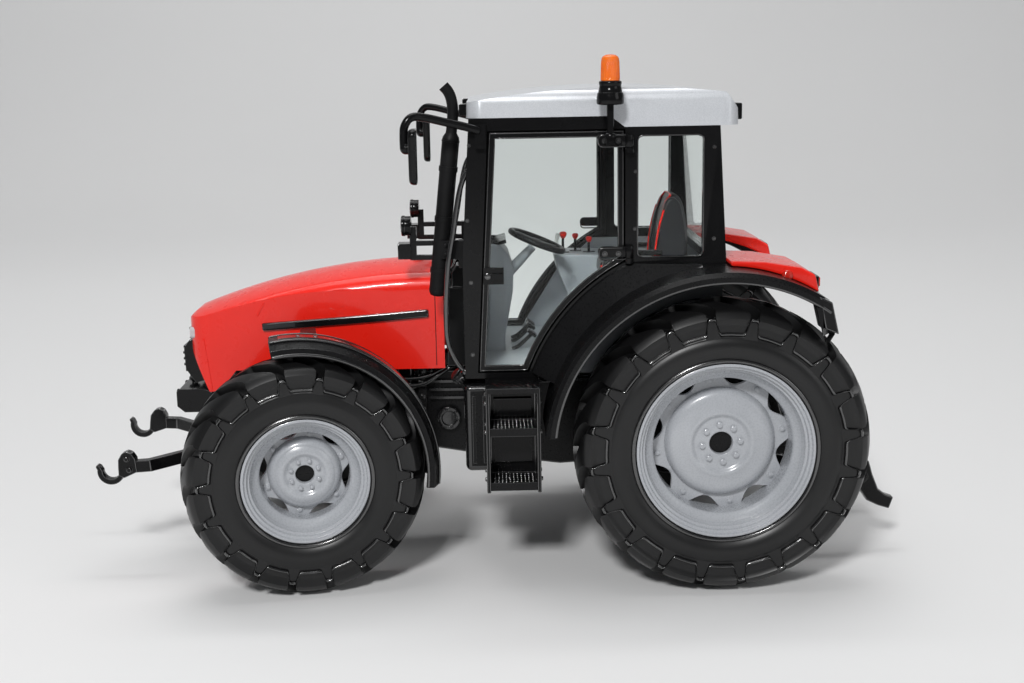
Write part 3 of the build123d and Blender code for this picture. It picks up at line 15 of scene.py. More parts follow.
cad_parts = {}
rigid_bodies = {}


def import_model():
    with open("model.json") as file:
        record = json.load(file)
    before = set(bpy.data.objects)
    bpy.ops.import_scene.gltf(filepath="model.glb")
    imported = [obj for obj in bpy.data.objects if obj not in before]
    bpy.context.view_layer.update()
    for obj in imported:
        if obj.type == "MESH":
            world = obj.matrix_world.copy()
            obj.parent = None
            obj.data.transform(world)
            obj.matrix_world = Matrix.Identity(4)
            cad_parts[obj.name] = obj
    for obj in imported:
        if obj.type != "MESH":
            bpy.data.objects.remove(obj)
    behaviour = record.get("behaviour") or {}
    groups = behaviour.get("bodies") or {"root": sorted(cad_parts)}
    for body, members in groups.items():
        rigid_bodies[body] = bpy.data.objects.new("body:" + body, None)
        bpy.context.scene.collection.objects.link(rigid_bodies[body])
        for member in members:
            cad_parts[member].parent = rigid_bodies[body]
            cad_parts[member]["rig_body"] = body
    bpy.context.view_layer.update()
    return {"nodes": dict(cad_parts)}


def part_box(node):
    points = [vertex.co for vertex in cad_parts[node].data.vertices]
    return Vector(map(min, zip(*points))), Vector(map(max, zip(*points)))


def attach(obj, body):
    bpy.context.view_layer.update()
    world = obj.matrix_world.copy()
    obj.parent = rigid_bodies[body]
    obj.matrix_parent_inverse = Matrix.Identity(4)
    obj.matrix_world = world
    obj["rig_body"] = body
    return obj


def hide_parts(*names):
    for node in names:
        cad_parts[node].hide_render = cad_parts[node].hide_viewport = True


MM = 0.001
X, Y, Z = Vector((1, 0, 0)), Vector((0, 1, 0)), Vector((0, 0, 1))
SIDES = (("left", 1), ("right", -1))
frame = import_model()
nodes = frame["nodes"]


def ends(node):
    """Lowest and highest corner of a CAD node, in millimetres."""
    low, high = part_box(node)
    return low / MM, high / MM


def middle(node):
    low, high = ends(node)
    return (low + high) / 2


# ---------------------------------------------------------------- materials
class Shader:
    """A material's node tree, with short calls for what the finishes share."""

    def __init__(self, name):
        self.material = bpy.data.materials.new(name)
        self.material.use_nodes = True
        self.tree = self.material.node_tree
        self.surface = self.tree.nodes["Principled BSDF"]
        self.place = self.add("ShaderNodeTexCoord").outputs["Object"]

    def add(self, kind, **settings):
        node = self.tree.nodes.new(kind)
        for key, value in settings.items():
            if hasattr(node, key):
                setattr(node, key, value)
            else:
                node.inputs[key.replace("_", " ")].default_value = value
        return node

    def link(self, out, into):
        self.tree.links.new(out, into)

    def set(self, **values):
        for key, value in values.items():
            if key == "Base_Color":
                value = (*value, 1)
            self.surface.inputs[key.replace("_", " ")].default_value = value

    def noise(self, per_mm, detail=3.0, roughness=0.5):
        """Noise with this many features to a millimetre."""
        node = self.add("ShaderNodeTexNoise", Scale=per_mm / MM, Detail=detail, Roughness=roughness)
        self.link(self.place, node.inputs["Vector"])
        return node.outputs["Fac"]

    def cells(self, per_mm):
        node = self.add("ShaderNodeTexVoronoi", Scale=per_mm / MM)
        self.link(self.place, node.inputs["Vector"])
        return node

    def span(self, fac, low, high, start=0.3, end=0.7):
        """A number that runs from low to high as fac runs from start to end."""
        node = self.add("ShaderNodeMapRange")
        for key, value in zip(("From Min", "From Max", "To Min", "To Max"), (start, end, low, high)):
            node.inputs[key].default_value = value
        self.link(fac, node.inputs["Value"])
        return node.outputs["Result"]

    def tint(self, fac, dark, pale, start=0.3, end=0.7):
        """A colour between dark and pale as fac runs from start to end."""
        ramp = self.add("ShaderNodeValToRGB")
        ramp.color_ramp.elements[0].position = start
        ramp.color_ramp.elements[0].color = (*dark, 1)
        ramp.color_ramp.elements[1].position = end
        ramp.color_ramp.elements[1].color = (*pale, 1)
        self.link(fac, ramp.inputs["Fac"])
        return ramp.outputs["Color"]

    def color(self, out):
        self.link(out, self.surface.inputs["Base Color"])

    def rough(self, out):
        self.link(out, self.surface.inputs["Roughness"])

    def bump(self, height, depth_mm, strength=1.0):
        """Relief of this real depth, added under any relief that is already there."""
        node = self.add("ShaderNodeBump", Strength=strength, Distance=depth_mm * MM)
        self.link(height, node.inputs["Height"])
        normal = self.surface.inputs["Normal"]
        if normal.is_linked:
            self.link(normal.links[0].from_socket, node.inputs["Normal"])
        self.link(node.outputs["Normal"], normal)
        return node


def paint(name, dark, pale, roughness, coat=0.0, grain_mm=0.002, per_mm=3.0, shine=0.5,
          coat_rough=0.06):
    """Sprayed or moulded finish: slight mottling, uneven gloss and a fine grain."""
    s = Shader(name)
    broad = s.noise(0.12, 4)
    fine = s.noise(per_mm, 3)
    s.color(s.tint(broad, dark, pale))
    s.rough(s.span(fine, roughness * 0.82, roughness * 1.2))
    s.bump(fine, grain_mm, 0.6)
    s.set(Coat_Weight=coat, Coat_Roughness=coat_rough, Specular_IOR_Level=shine)
    return s.material


def scaled(color, k):
    return tuple(min(1.0, c * k) for c in color)


RED = (0.86, 0.017, 0.008)
BLACK = (0.0045, 0.0045, 0.0048)
red_paint = paint("red_paint", scaled(RED, 0.96), RED, 0.30, coat=0.4, grain_mm=0.0005, per_mm=0.5,
                  shine=0.25)
black_gloss = paint("black_gloss", BLACK, scaled(BLACK, 1.4), 0.16, grain_mm=0.001, shine=0.2)
black_satin = paint("black_satin", BLACK, scaled(BLACK, 1.6), 0.30, grain_mm=0.003, shine=0.18)
black_matt = paint("black_matt", BLACK, scaled(BLACK, 2.0), 0.48, grain_mm=0.006, shine=0.15)
edge_gloss = paint("edge_gloss", BLACK, scaled(BLACK, 1.6), 0.20, coat=1.0, grain_mm=0.0006, shine=1.0,
                   coat_rough=0.16)
edge_satin = paint("edge_satin", BLACK, scaled(BLACK, 1.6), 0.24, coat=0.4, grain_mm=0.002, shine=0.7)
strip_grey = paint("strip_grey", (0.018, 0.018, 0.020), (0.024, 0.024, 0.027), 0.36, grain_mm=0.003,
                   shine=0.4)
rim_paint = paint("rim_paint", (0.37, 0.385, 0.41), (0.41, 0.425, 0.45), 0.28, coat=0.5,
                  grain_mm=0.0006, coat_rough=0.12)
# painted shade: the hub drum is the rim's grey darkened, standing in for the shade deep behind the disc
drum_painted_shade = paint("drum_painted_shade", (0.10, 0.11, 0.12), (0.14, 0.15, 0.16), 0.5, grain_mm=0.01)
tub_grey = paint("tub_grey", (0.29, 0.31, 0.335), (0.33, 0.35, 0.375), 0.40, grain_mm=0.003)
seat_vinyl = paint("seat_vinyl", (0.007, 0.0075, 0.009), (0.012, 0.0125, 0.015), 0.34, grain_mm=0.006,
                   per_mm=5.0)
mark_white = paint("mark_white", (0.72, 0.72, 0.70), (0.80, 0.80, 0.78), 0.4, grain_mm=0.004)
mirror_face = paint("mirror_face", (0.55, 0.57, 0.60), (0.62, 0.64, 0.67), 0.08, grain_mm=0.001)
# rounded edges of a black or grey shape are smoother than the broad faces beside them
EDGES = {black_gloss: edge_gloss, black_satin: edge_satin, black_matt: edge_satin, strip_grey: edge_satin}


def tyre_rubber():
    s = Shader("tyre_rubber")
    fine = s.noise(6.0, 4, 0.6)
    broad = s.noise(0.10, 4)
    s.color(s.tint(broad, (0.0042, 0.0042, 0.0045), (0.0065, 0.0065, 0.0068)))
    s.rough(s.span(broad, 0.34, 0.40))
    s.bump(fine, 0.004, 0.7)
    s.set(Specular_IOR_Level=0.45)
    return s.material


def roof_silver():
    """Silver paint with sparkling flakes."""
    s = Shader("roof_silver")
    flakes = s.cells(9.0)
    s.color(s.tint(flakes.outputs["Color"], (0.56, 0.58, 0.61), (0.66, 0.68, 0.71), 0.1, 0.9))
    s.rough(s.span(s.noise(0.4), 0.32, 0.40))
    s.bump(s.noise(4.0, 3), 0.0015, 0.6)
    s.set(Metallic=0.3, Coat_Weight=0.3, Coat_Roughness=0.15)
    return s.material


def clear_glass():
    """Clear window plastic: reflects at a glancing look and lets lamps through."""
    s = Shader("window_clear")
    s.set(Base_Color=(0.95, 0.98, 0.97), Roughness=0.03, IOR=1.22, Transmission_Weight=1.0)
    waves = s.noise(0.10, 1)
    s.bump(waves, 0.01, 0.3)
    path = s.add("ShaderNodeLightPath")
    through = s.add("ShaderNodeBsdfTransparent")
    through.inputs["Color"].default_value = (0.93, 0.96, 0.95, 1)
    mix = s.add("ShaderNodeMixShader")
    s.link(path.outputs["Is Shadow Ray"], mix.inputs["Fac"])
    s.link(s.surface.outputs["BSDF"], mix.inputs[1])
    s.link(through.outputs["BSDF"], mix.inputs[2])
    s.link(mix.outputs["Shader"], s.tree.nodes["Material Output"].inputs["Surface"])
    return s.material


def lens(name, dark, pale, clear):
    """Tinted lens with fine ribs inside."""
    s = Shader(name)
    ribs = s.add("ShaderNodeTexWave", Scale=1.6 / MM, wave_type="BANDS", bands_direction="Z")
    s.link(s.place, ribs.inputs["Vector"])
    s.color(s.tint(s.noise(0.5), dark, pale))
    s.bump(ribs.outputs["Fac"], 0.03, 0.5)
    s.set(Roughness=0.12, Transmission_Weight=clear, IOR=1.45, Coat_Weight=0.5, Coat_Roughness=0.05)
    return s.material


silver = roof_silver()
glass = clear_glass()
orange_lens = lens("orange_lens", (0.88, 0.13, 0.006), (0.96, 0.19, 0.010), 0.12)
red_lens = lens("red_lens", (0.60, 0.02, 0.01), (0.75, 0.03, 0.015), 0.2)
clear_lens = lens("clear_lens", (0.75, 0.77, 0.80), (0.86, 0.88, 0.90), 0.35)
tyre_finish = tyre_rubber()

for name in ("windscreen", "rear_window", "quarter_windows", "door_glass_left", "door_glass_right"):
    nodes[name].data.materials.clear()
    nodes[name].data.materials.append(glass)


# ---------------------------------------------------------------- geometry helpers
def place(origin, axis=Z, turn=0.0):
    """Matrix that stands a shape's own +Z along axis at origin, turned about it by degrees."""
    lean = Vector(axis).to_track_quat("Z", "Y").to_matrix().to_4x4()
    return Matrix.Translation(Vector(origin)) @ lean @ Matrix.Rotation(math.radians(turn), 4, "Z")


def turned(degrees, axis="Y"):
    return Matrix.Rotation(math.radians(degrees), 4, axis)


def upright(y):
    """Matrix for a prism whose outline is in (x, z), and which runs from y towards -Y."""
    return Matrix.Translation((0, y, 0)) @ Matrix((X, Z, -Y)).transposed().to_4x4()


def smooth_line(points, per=6):
    """Points of a Catmull-Rom curve through these points."""
    pts = [Vector(p) for p in points]
    pts = [2 * pts[0] - pts[1], *pts, 2 * pts[-1] - pts[-2]]
    line = []
    for a, b, c, d in zip(pts, pts[1:], pts[2:], pts[3:]):
        for i in range(per):
            t = i / per
            line.append(0.5 * (2 * b + (c - a) * t + (2 * a - 5 * b + 4 * c - d) * t ** 2
                               + (3 * b - a - 3 * c + d) * t ** 3))
    return line + [pts[-2]]


def arc(centre, radius, start, stop, steps):
    """Points (u, v) of an arc in degrees."""
    turns = [math.radians(start + (stop - start) * i / steps) for i in range(steps + 1)]
    return [(centre[0] + radius * math.cos(a), centre[1] + radius * math.sin(a)) for a in turns]


def around(steps):
    """Angles that share out a full turn."""
    return [2 * math.pi * i / steps for i in range(steps)]


def rounded(wide, tall, corner, centre=(0, 0), narrowed=0.0):
    """Points (u, v) of a rectangle with round corners, whose foot may be narrowed on either side."""
    path = []
    for k, (a, b) in enumerate(((1, 1), (-1, 1), (-1, -1), (1, -1))):
        u = a * (wide / 2 - corner - (narrowed if b < 0 else 0.0))
        v = b * (tall / 2 - corner)
        path += arc((centre[0] + u, centre[1] + v), corner, 90 * k, 90 * k + 90, 5)
    return path


def fluted_ring(at, height, radius, flutes, steps=96):
    """Ring of points round the own Z of the matrix at, with the radius changed by these shares in turn."""
    ring = []
    for i, a in enumerate(around(steps)):
        r = radius * (1 + flutes[i % len(flutes)])
        ring.append(at @ Vector((r * math.cos(a), r * math.sin(a), height)))
    return ring


class Piece:
    """Geometry gathered in millimetres, which becomes one object that rides on a CAD body."""

    def __init__(self, name, slot, finish, body="chassis"):
        self.name, self.slot, self.finish, self.body = name, slot, finish, body
        self.shape = bmesh.new()

    def loft(self, rings, caps=False, ring_closed=False):
        """Skin over a row of rings with as many points each."""
        rows = [[self.shape.verts.new(p) for p in ring] for ring in rings]
        if ring_closed:
            rows.append(rows[0])
        for low, high in zip(rows, rows[1:]):
            for quad in zip(low, low[1:] + low[:1], high[1:] + high[:1], high):
                self.shape.faces.new(quad)
        if caps:
            self.shape.faces.new(rows[0])
            self.shape.faces.new(rows[-1])
        return self

    def lathe(self, profile, at, steps=32, closed=False):
        """Turned shape from (height, radius) points about the own Z of the matrix at."""
        rings = [[at @ Vector((r * math.cos(a), r * math.sin(a), h)) for a in around(steps)]
                 for h, r in profile]
        return self.loft(rings, ring_closed=closed)

    def prism(self, outline, at, depth):
        """Plate with this outline in the own XY of the matrix at."""
        return self.loft([[at @ Vector((u, v, h)) for u, v in outline] for h in (0, depth)], caps=True)

    def block(self, centre, size, turn=turned(0)):
        at = Matrix.Translation(Vector(centre)) @ turn
        u, v, w = (s / 2 for s in size)
        return self.prism([(-u, -v), (u, -v), (u, v), (-u, v)], at @ Matrix.Translation((0, 0, -w)), 2 * w)

    def tube(self, line, radius, steps=14, caps=True):
        """Round bar along a line of points."""
        rings = []
        side = None
        for i, p in enumerate(line):
            ahead = (line[min(i + 1, len(line) - 1)] - line[max(i - 1, 0)]).normalized()
            side = side or ahead.orthogonal().normalized()
            side = (side - ahead * side.dot(ahead)).normalized()
            up = ahead.cross(side)
            r = radius(i / (len(line) - 1)) if callable(radius) else radius
            rings.append([p + r * (math.cos(a) * side + math.sin(a) * up) for a in around(steps)])
        return self.loft(rings, caps=caps)

    def pipe(self, points, radius, steps=14):
        """Round bar along a smooth curve through these points."""
        return self.tube(smooth_line(points), radius, steps)

    def ball(self, centre, radius):
        bmesh.ops.create_uvsphere(
            self.shape, u_segments=20, v_segments=12, radius=radius,
            matrix=Matrix.Translation(Vector(centre)))
        return self

    def bolt(self, at, radius, height, sides=6):
        """Hexagon head on its washer."""
        self.lathe([(0, 0), (0, 1.35 * radius), (0.22 * height, 1.35 * radius), (0.22 * height, 0)], at, 16)
        head = ((0.2, 0), (0.2, 1), (0.8, 1), (1, 0.78), (1, 0))
        return self.lathe([(h * height, r * radius) for h, r in head], at, sides)

    def bolts(self, spots, axis, radius, height, sides=6):
        for spot in spots:
            self.bolt(place(spot, axis), radius, height, sides)
        return self

    def copy(self, node):
        """The mesh of a CAD node, with its flat stretches joined again."""
        part = bmesh.new()
        part.from_mesh(nodes[node].data)
        bmesh.ops.scale(part, vec=Vector((1, 1, 1)) / MM, verts=part.verts)
        bmesh.ops.remove_doubles(part, verts=part.verts, dist=0.002)
        bmesh.ops.dissolve_limit(
            part, angle_limit=math.radians(0.6), verts=part.verts, edges=part.edges)
        mesh = bpy.data.meshes.new("part")
        part.to_mesh(mesh)
        part.free()
        self.shape.from_mesh(mesh)
        bpy.data.meshes.remove(mesh)
        return self

    def mirrored(self):
        """Add the same shape on the other side of the tractor."""
        shape = self.shape
        twin = bmesh.ops.duplicate(shape, geom=shape.verts[:] + shape.edges[:] + shape.faces[:])
        verts = [v for v in twin["geom"] if isinstance(v, bmesh.types.BMVert)]
        bmesh.ops.scale(shape, vec=(1, -1, 1), verts=verts)
        return self

    def done(self, *replaced, bevel=0.0, steps=2, sharp=33.0):
        """Round the edges, turn the shape into an object and tie it to the CAD model."""
        shape = self.shape
        bmesh.ops.remove_doubles(shape, verts=shape.verts, dist=0.001)
        bmesh.ops.recalc_face_normals(shape, faces=shape.faces)
        limit = math.radians(sharp)
        if bevel:
            hard = [e for e in shape.edges if len(e.link_faces) == 2 and e.calc_face_angle(0) > limit]
            bmesh.ops.bevel(
                shape, geom=hard, offset=bevel, segments=steps, profile=0.5, affect="EDGES",
                clamp_overlap=True, material=1 if self.finish in EDGES else -1)
        for face in shape.faces:
            face.smooth = True
        for edge in shape.edges:
            edge.smooth = len(edge.link_faces) == 2 and edge.calc_face_angle(0) < limit + 0.16
        bmesh.ops.scale(shape, vec=Vector((MM, MM, MM)), verts=shape.verts)
        mesh = bpy.data.meshes.new(self.name)
        shape.to_mesh(mesh)
        shape.free()
        mesh.materials.append(self.finish)
        if bevel and self.finish in EDGES:
            mesh.materials.append(EDGES[self.finish])
        thing = bpy.data.objects.new(self.name, mesh)
        bpy.context.scene.collection.objects.link(thing)
        weights = thing.modifiers.new("even_faces", "WEIGHTED_NORMAL")
        weights.keep_sharp = True
        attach(thing, self.body)
        if replaced:
            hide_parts(*replaced)
        return thing


# ---------------------------------------------------------------- wheels
STEER_DEG = 9.5
# half: half width; crown: how far the tread falls to its shoulder; lugs a side, their height, and where
# the first stands as a share of their pitch; bay_r, spike_r: foot and top of the bays in the sidewall;
# shade_r: the ring below them; rim_r, rim_w: the rim's lip; depth: of the disc below the lip's face;
# dome_r, ring_r, nut_r, hole_r: the disc's edge, raised ring, nuts and hub hole; drum_in: the hub drum's
# inner end; lobes, and the angles of the first lobe and the first nut
WHEELS = {
    "rear": SimpleNamespace(
        half=6.9, crown=1.45, lugs=20, lug_h=1.7, first_lug=0.10, bay_r=21.1, spike_r=23.8, shade_r=20.4,
        rim_r=15.6, rim_w=12.48, depth=5.9, dome_r=9.9, ring_r=5.4, nut_r=3.4, hole_r=2.1, drum_in=-6.9,
        lobes=8, first_lobe=35.0, first_nut=39.0),
    "front": SimpleNamespace(
        half=6.1, crown=1.3, lugs=18, lug_h=1.5, first_lug=0.5, bay_r=16.9, spike_r=18.9, shade_r=16.2,
        rim_r=11.3, rim_w=10.88, depth=5.1, dome_r=6.6, ring_r=3.9, nut_r=2.6, hole_r=1.7, drum_in=-3.1,
        lobes=6, first_lobe=40.0, first_nut=20.0),
}
# sidewall from the rim up: (share of the half width, rise above the rim's lip)
BULGE = ((0.66, -0.3), (0.74, -0.1), (0.80, 0.04), (0.84, 0.15), (0.85, 0.5), (0.88, 0.8), (0.94, 1.3),
         (0.978, 2.1), (0.99, 2.8), (0.985, 3.5))
# points across a lug, in shares of its half width: those past 1 lie on the tyre's floor
LUG_ACROSS = (-1.10, -1.0, -0.88, -0.82, -0.4, 0.0, 0.4, 0.82, 0.88, 1.0, 1.10)
# edge of the sidewall from the middle of a rib into the bay: (share of the pitch, share of the bay's height)
BAY_SIDE = ((0.0, 1.0), (0.05, 1.0), (0.075, 0.97), (0.09, 0.88), (0.125, 0.5), (0.155, 0.15), (0.175, 0.05),
            (0.21, 0.0), (0.35, 0.0))
BAY_EDGE = (*BAY_SIDE, (0.5, 0.0), *((1 - share, rise) for share, rise in reversed(BAY_SIDE[1:])))
# raised bead on that edge: (how far inside it, depth below the half width)
EDGE_BEAD = ((0.70, 0.36), (0.56, 0.52), (0.50, 0.34), (0.40, 0.16), (0.26, 0.06), (0.12, 0.08), (0.02, 0.22),
             (-0.02, 0.5), (-0.08, 1.1))
# bead where the sidewall meets the rim: (outwards, rise above the rim's lip)
FOOT_BEAD = ((0.0, 0.55), (0.06, 0.32), (0.20, 0.2), (0.42, 0.24), (0.52, 0.42), (0.52, 0.62), (0.40, 0.82),
             (0.2, 0.95))
# stepped rings of the rim: (inwards from the lip's face, below the lip's radius)
LIP_STEPS = ((0.10, 0.0), (0.0, 0.12), (0.0, 0.42), (0.12, 0.52), (0.55, 0.60), (0.62, 0.72), (0.62, 0.98),
             (0.74, 1.08), (1.25, 1.14), (1.32, 1.26), (1.32, 1.50), (1.45, 1.62), (2.5, 1.8), (3.3, 2.85),
             (3.6, 3.18), (4.0, 3.3))
WELL_DEPTH = 3.3


def wheel_place(end, side, sign):
    """Matrix from a wheel's own space (+X forwards, +Y up, +Z outwards) to its place at rest."""
    centre = middle(f"{end}_tyre_{side}")
    basis = Matrix((X, Z, sign * Y)).transposed().to_4x4()
    return Matrix.Translation(centre) @ turned(STEER_DEG if end == "front" else 0.0, "Z") @ basis


def at_wheel(at, radius, degrees, out):
    a = math.radians(degrees)
    return at @ Vector((radius * math.cos(a), radius * math.sin(a), out))


def tread_line(w, tyre_r, lift):
    """(t, out, radius) over a tyre's tread, down its shoulder and along the sidewall's bays.

    lift is how far the points stand above the floor between the lugs; t is 0 at the middle of the
    tread, 1 at the shoulder and 2 at the foot of the bay.
    """
    shoulder_y, shoulder_r = 0.81 * w.half, tyre_r - w.crown
    bay_top = w.spike_r - 0.9
    line = []
    for t in (0.0, 0.2, 0.4, 0.6, 0.8, 0.95):
        line.append((t, shoulder_y * t, tyre_r - w.crown * t * t, 0.0, 1.0))
    line.append((1.08, shoulder_y + 0.32 * (w.half - shoulder_y), shoulder_r - 0.30, 0.5, 0.85))
    line.append((1.2, w.half - 0.28, shoulder_r - 0.26 * w.half + 0.55, 0.85, 0.5))
    line.append((1.3, w.half - 0.04, bay_top, 1.0, 0.0))
    for t in (0.35, 0.7, 1.0):
        line.append((1.3 + 0.7 * t, w.half, bay_top - (bay_top - w.bay_r) * t, 1.0, 0.0))
    sunk = w.lug_h - lift
    return [(t, y - out * sunk, r - up * sunk) for t, y, r, out, up in line]


def carcass(piece, w, at, tyre_r):
    """The tyre under its lugs: bulged sidewalls and the floor of the tread."""
    wall = [(share * w.half, w.rim_r + rise) for share, rise in BULGE] + [
        (0.95 * w.half, w.shade_r - 0.3), (w.half - 0.9, w.shade_r), (w.half - 1.0, w.bay_r + 0.4),
        (w.half - 1.1, w.spike_r - 0.6), (w.half - 1.3, w.spike_r)]
    floor = [(y, r - 0.05) for t, y, r in tread_line(w, tyre_r, 0.0) if t < 1.0]
    half_section = wall + floor[::-1]
    section = half_section + [(-y, r) for y, r in reversed(half_section[:-1])]
    piece.lathe(section, at, steps=w.lugs * 10, closed=True)


def lugs(piece, w, at, tyre_r, row):
    """One side's slanted lugs, which run over the shoulder and down between the bays."""
    pitch = 360.0 / w.lugs
    top = tread_line(w, tyre_r, w.lug_h)
    foot = tread_line(w, tyre_r, -0.25)
    for lug in range(w.lugs):
        start = (lug + w.first_lug + (0.0 if row > 0 else 0.5)) * pitch
        rings = []
        for (t, y, r), (_, y_foot, r_foot) in zip(top, foot):
            # share of the pitch that the lug takes, and how far it leads at the tyre's middle
            if t <= 1.0:
                share = 0.17 + 0.20 * t ** 3
            else:
                share = 0.39 if t < 1.25 else 0.39 - 0.085 * (t - 1.25) / 0.75
            turn = start - pitch * 0.95 * max(0.0, 1.0 - t) ** 1.15
            sunk = 0.66 if t > 1.25 else 0.0
            if t == 0.0:
                y = y_foot = -0.06 * w.half
            ring = []
            for across in LUG_ACROSS:
                radius, out = (r_foot, y_foot) if abs(across) > 1.0 else (r, y - sunk)
                ring.append(at_wheel(at, radius, turn + across * share * pitch, row * out))
            rings.append(ring)
        # ring that closes the foot of the bay
        rings.append([at_wheel(at, w.bay_r - 0.2, start + across * 0.31 * pitch, row * (w.half - 1.15))
                      for across in LUG_ACROSS])
        piece.loft(rings, caps=True)


def sidewall(piece, beads, w, at, row):
    """Shaded ring and the raised bead that runs round the foot of each lug and up between them."""
    pitch = 360.0 / w.lugs
    lead = w.first_lug + (0.5 if row > 0 else 0.0)
    edge = [(w.bay_r + rise * (w.spike_r - w.bay_r), (lug + share + lead) * pitch)
            for lug in range(w.lugs) for share, rise in BAY_EDGE]
    rings = [[at_wheel(at, w.shade_r - 0.32, a, row * (w.half - 0.36)) for _, a in edge]]
    for inward, depth in EDGE_BEAD:
        rings.append([at_wheel(at, r - inward, a, row * (w.half - depth)) for r, a in edge])
    piece.loft(rings[:3])
    beads.loft(rings[2:])
    foot = [(row * (0.85 * w.half + y), w.rim_r + r) for y, r in FOOT_BEAD]
    beads.lathe(foot, at, steps=w.lugs * 10)


def tyre(end, side, sign):
    """Tyre with two rows of lugs, and the smoother beads on its sidewalls."""
    w = WHEELS[end]
    at = wheel_place(end, side, sign)
    low, high = ends(f"{end}_tyre_{side}")
    tyre_r = (high.z - low.z) / 2
    piece = Piece(f"{end}_tyre_body_{side}", "tyre_rubber", tyre_finish, f"{end}_wheel_{side}")
    beads = Piece(f"{end}_tyre_beads_{side}", "tyre_rubber", edge_gloss, f"{end}_wheel_{side}")
    carcass(piece, w, at, tyre_r)
    for row in (1, -1):
        lugs(piece, w, at, tyre_r, row)
        sidewall(piece, beads, w, at, row)
    piece.done(f"{end}_tyre_{side}", sharp=40.0)
    beads.done(sharp=60.0)


def barrel(piece, w, at, lip):
    """Stepped lip rings on both faces and the deep well between them."""
    outer = [(lip - inward, w.rim_r - below) for inward, below in LIP_STEPS]
    back = [(-h, r) for h, r in reversed(outer)]
    well_r = w.rim_r - WELL_DEPTH
    hidden = [(-lip + 0.25, w.rim_r), (-lip + 0.9, w.rim_r - 0.7), (-lip + 2.6, well_r + 0.8),
              (lip - 3.4, well_r + 0.8), (lip - 0.9, w.rim_r - 0.7), (lip - 0.25, w.rim_r)]
    piece.lathe(outer + back + hidden, at, steps=96, closed=True)


def dished_disc(piece, w, at, disc):
    """Domed disc with a raised ring round its nuts."""
    hole, ring, dome = w.hole_r, w.ring_r, w.dome_r
    section = [
        (-0.9, hole - 0.05), (0.38, hole), (0.46, hole + 0.08), (0.46, hole + 0.3), (0.34, ring - 0.9),
        (0.42, ring - 0.6), (0.72, ring - 0.3), (0.92, ring), (0.96, ring + 0.25), (0.88, ring + 0.6),
        (0.66, ring + 1.1), (0.52, 0.5 * (ring + dome)), (0.44, dome - 1.7), (0.26, dome - 1.0),
        (-0.1, dome - 0.5), (-0.65, dome - 0.15), (-1.3, dome), (-1.45, dome + 0.02), (-2.1, dome),
        (-2.1, hole - 0.05)]
    piece.lathe([(disc + h, r) for h, r in section], at, steps=72, closed=True)


def lobed_edge(piece, w, at, disc):
    """The disc's outer edge, which runs out in lobes that meet the barrel, with windows between."""
    per_lobe = 20
    steps = w.lobes * per_lobe
    front, rear, edge = [], [], []
    for i in range(steps):
        angle = w.first_lobe + 360.0 * i / steps
        # how far this angle is from the middle of a window, as a share of the lobes' spacing
        off = abs((i / per_lobe) % 1.0 - 0.5)
        reach = w.rim_r - WELL_DEPTH + 0.15 - 0.125 * w.rim_r * max(0.0, 1.0 - (off / 0.29) ** 2)
        rear.append(at_wheel(at, w.dome_r - 0.4, angle, disc - 1.35))
        front.append(at_wheel(at, max(reach - 0.12, w.dome_r - 0.3), angle, disc - 1.35))
        edge.append((reach, angle))
    piece.loft([
        rear, front, [at_wheel(at, r, a, disc - 1.47) for r, a in edge],
        [at_wheel(at, r, a, disc - 2.0) for r, a in edge],
        [at_wheel(at, w.dome_r - 0.4, a, disc - 2.0) for _, a in edge]], ring_closed=True)


def rim_bolts(piece, w, at, disc):
    """A flat boss on each lobe and eight nuts on their washers."""
    axis = at.to_3x3() @ Z
    for k in range(w.lobes):
        angle = w.first_lobe + 360.0 * k / w.lobes
        spot = at_wheel(at, w.rim_r - WELL_DEPTH - 0.95, angle, disc - 1.4)
        piece.lathe([(0, 0.85), (0.12, 0.8), (0.16, 0.5), (0.42, 0.46), (0.52, 0.25), (0.53, 0)],
                    place(spot, axis), 18)
    nut = 0.030 * w.rim_r + 0.06
    for k in range(8):
        spot = at_wheel(at, w.nut_r, w.first_nut + 45.0 * k, disc + 0.4)
        piece.lathe([(0, 1.25 * nut), (0.12, 1.25 * nut), (0.14, nut), (0.5, 0.95 * nut),
                     (0.62, 0.6 * nut), (0.64, 0)], place(spot, axis), 18)


def rim(end, side, sign):
    """Rim with its disc, and the drum behind the disc, painted dark as painted shade for its recess."""
    w = WHEELS[end]
    at = wheel_place(end, side, sign)
    lip = w.rim_w / 2
    disc = lip - w.depth
    piece = Piece(f"{end}_rim_body_{side}", "rim_paint", rim_paint, f"{end}_wheel_{side}")
    barrel(piece, w, at, lip)
    dished_disc(piece, w, at, disc)
    lobed_edge(piece, w, at, disc)
    rim_bolts(piece, w, at, disc)
    piece.done(f"{end}_rim_{side}", sharp=38.0)
    # the drum is painted darker than the rim: painted shade for the recess behind the disc
    drum = Piece(f"{end}_hub_drum_{side}", "rim_paint", drum_painted_shade, f"{end}_wheel_{side}")
    drum.lathe([
        (disc - 2.15, w.hole_r), (disc - 2.15, w.ring_r - 0.4), (disc - 3.2, w.ring_r - 0.1),
        (disc - 4.0, w.ring_r - 0.9), (w.drum_in + 0.6, w.ring_r - 1.1), (w.drum_in + 0.3, w.ring_r - 1.4),
        (w.drum_in + 0.3, w.hole_r)], at, steps=48, closed=True)
    drum.done(sharp=35.0)


for end in WHEELS:
    for side, sign in SIDES:
        tyre(end, side, sign)
        rim(end, side, sign)


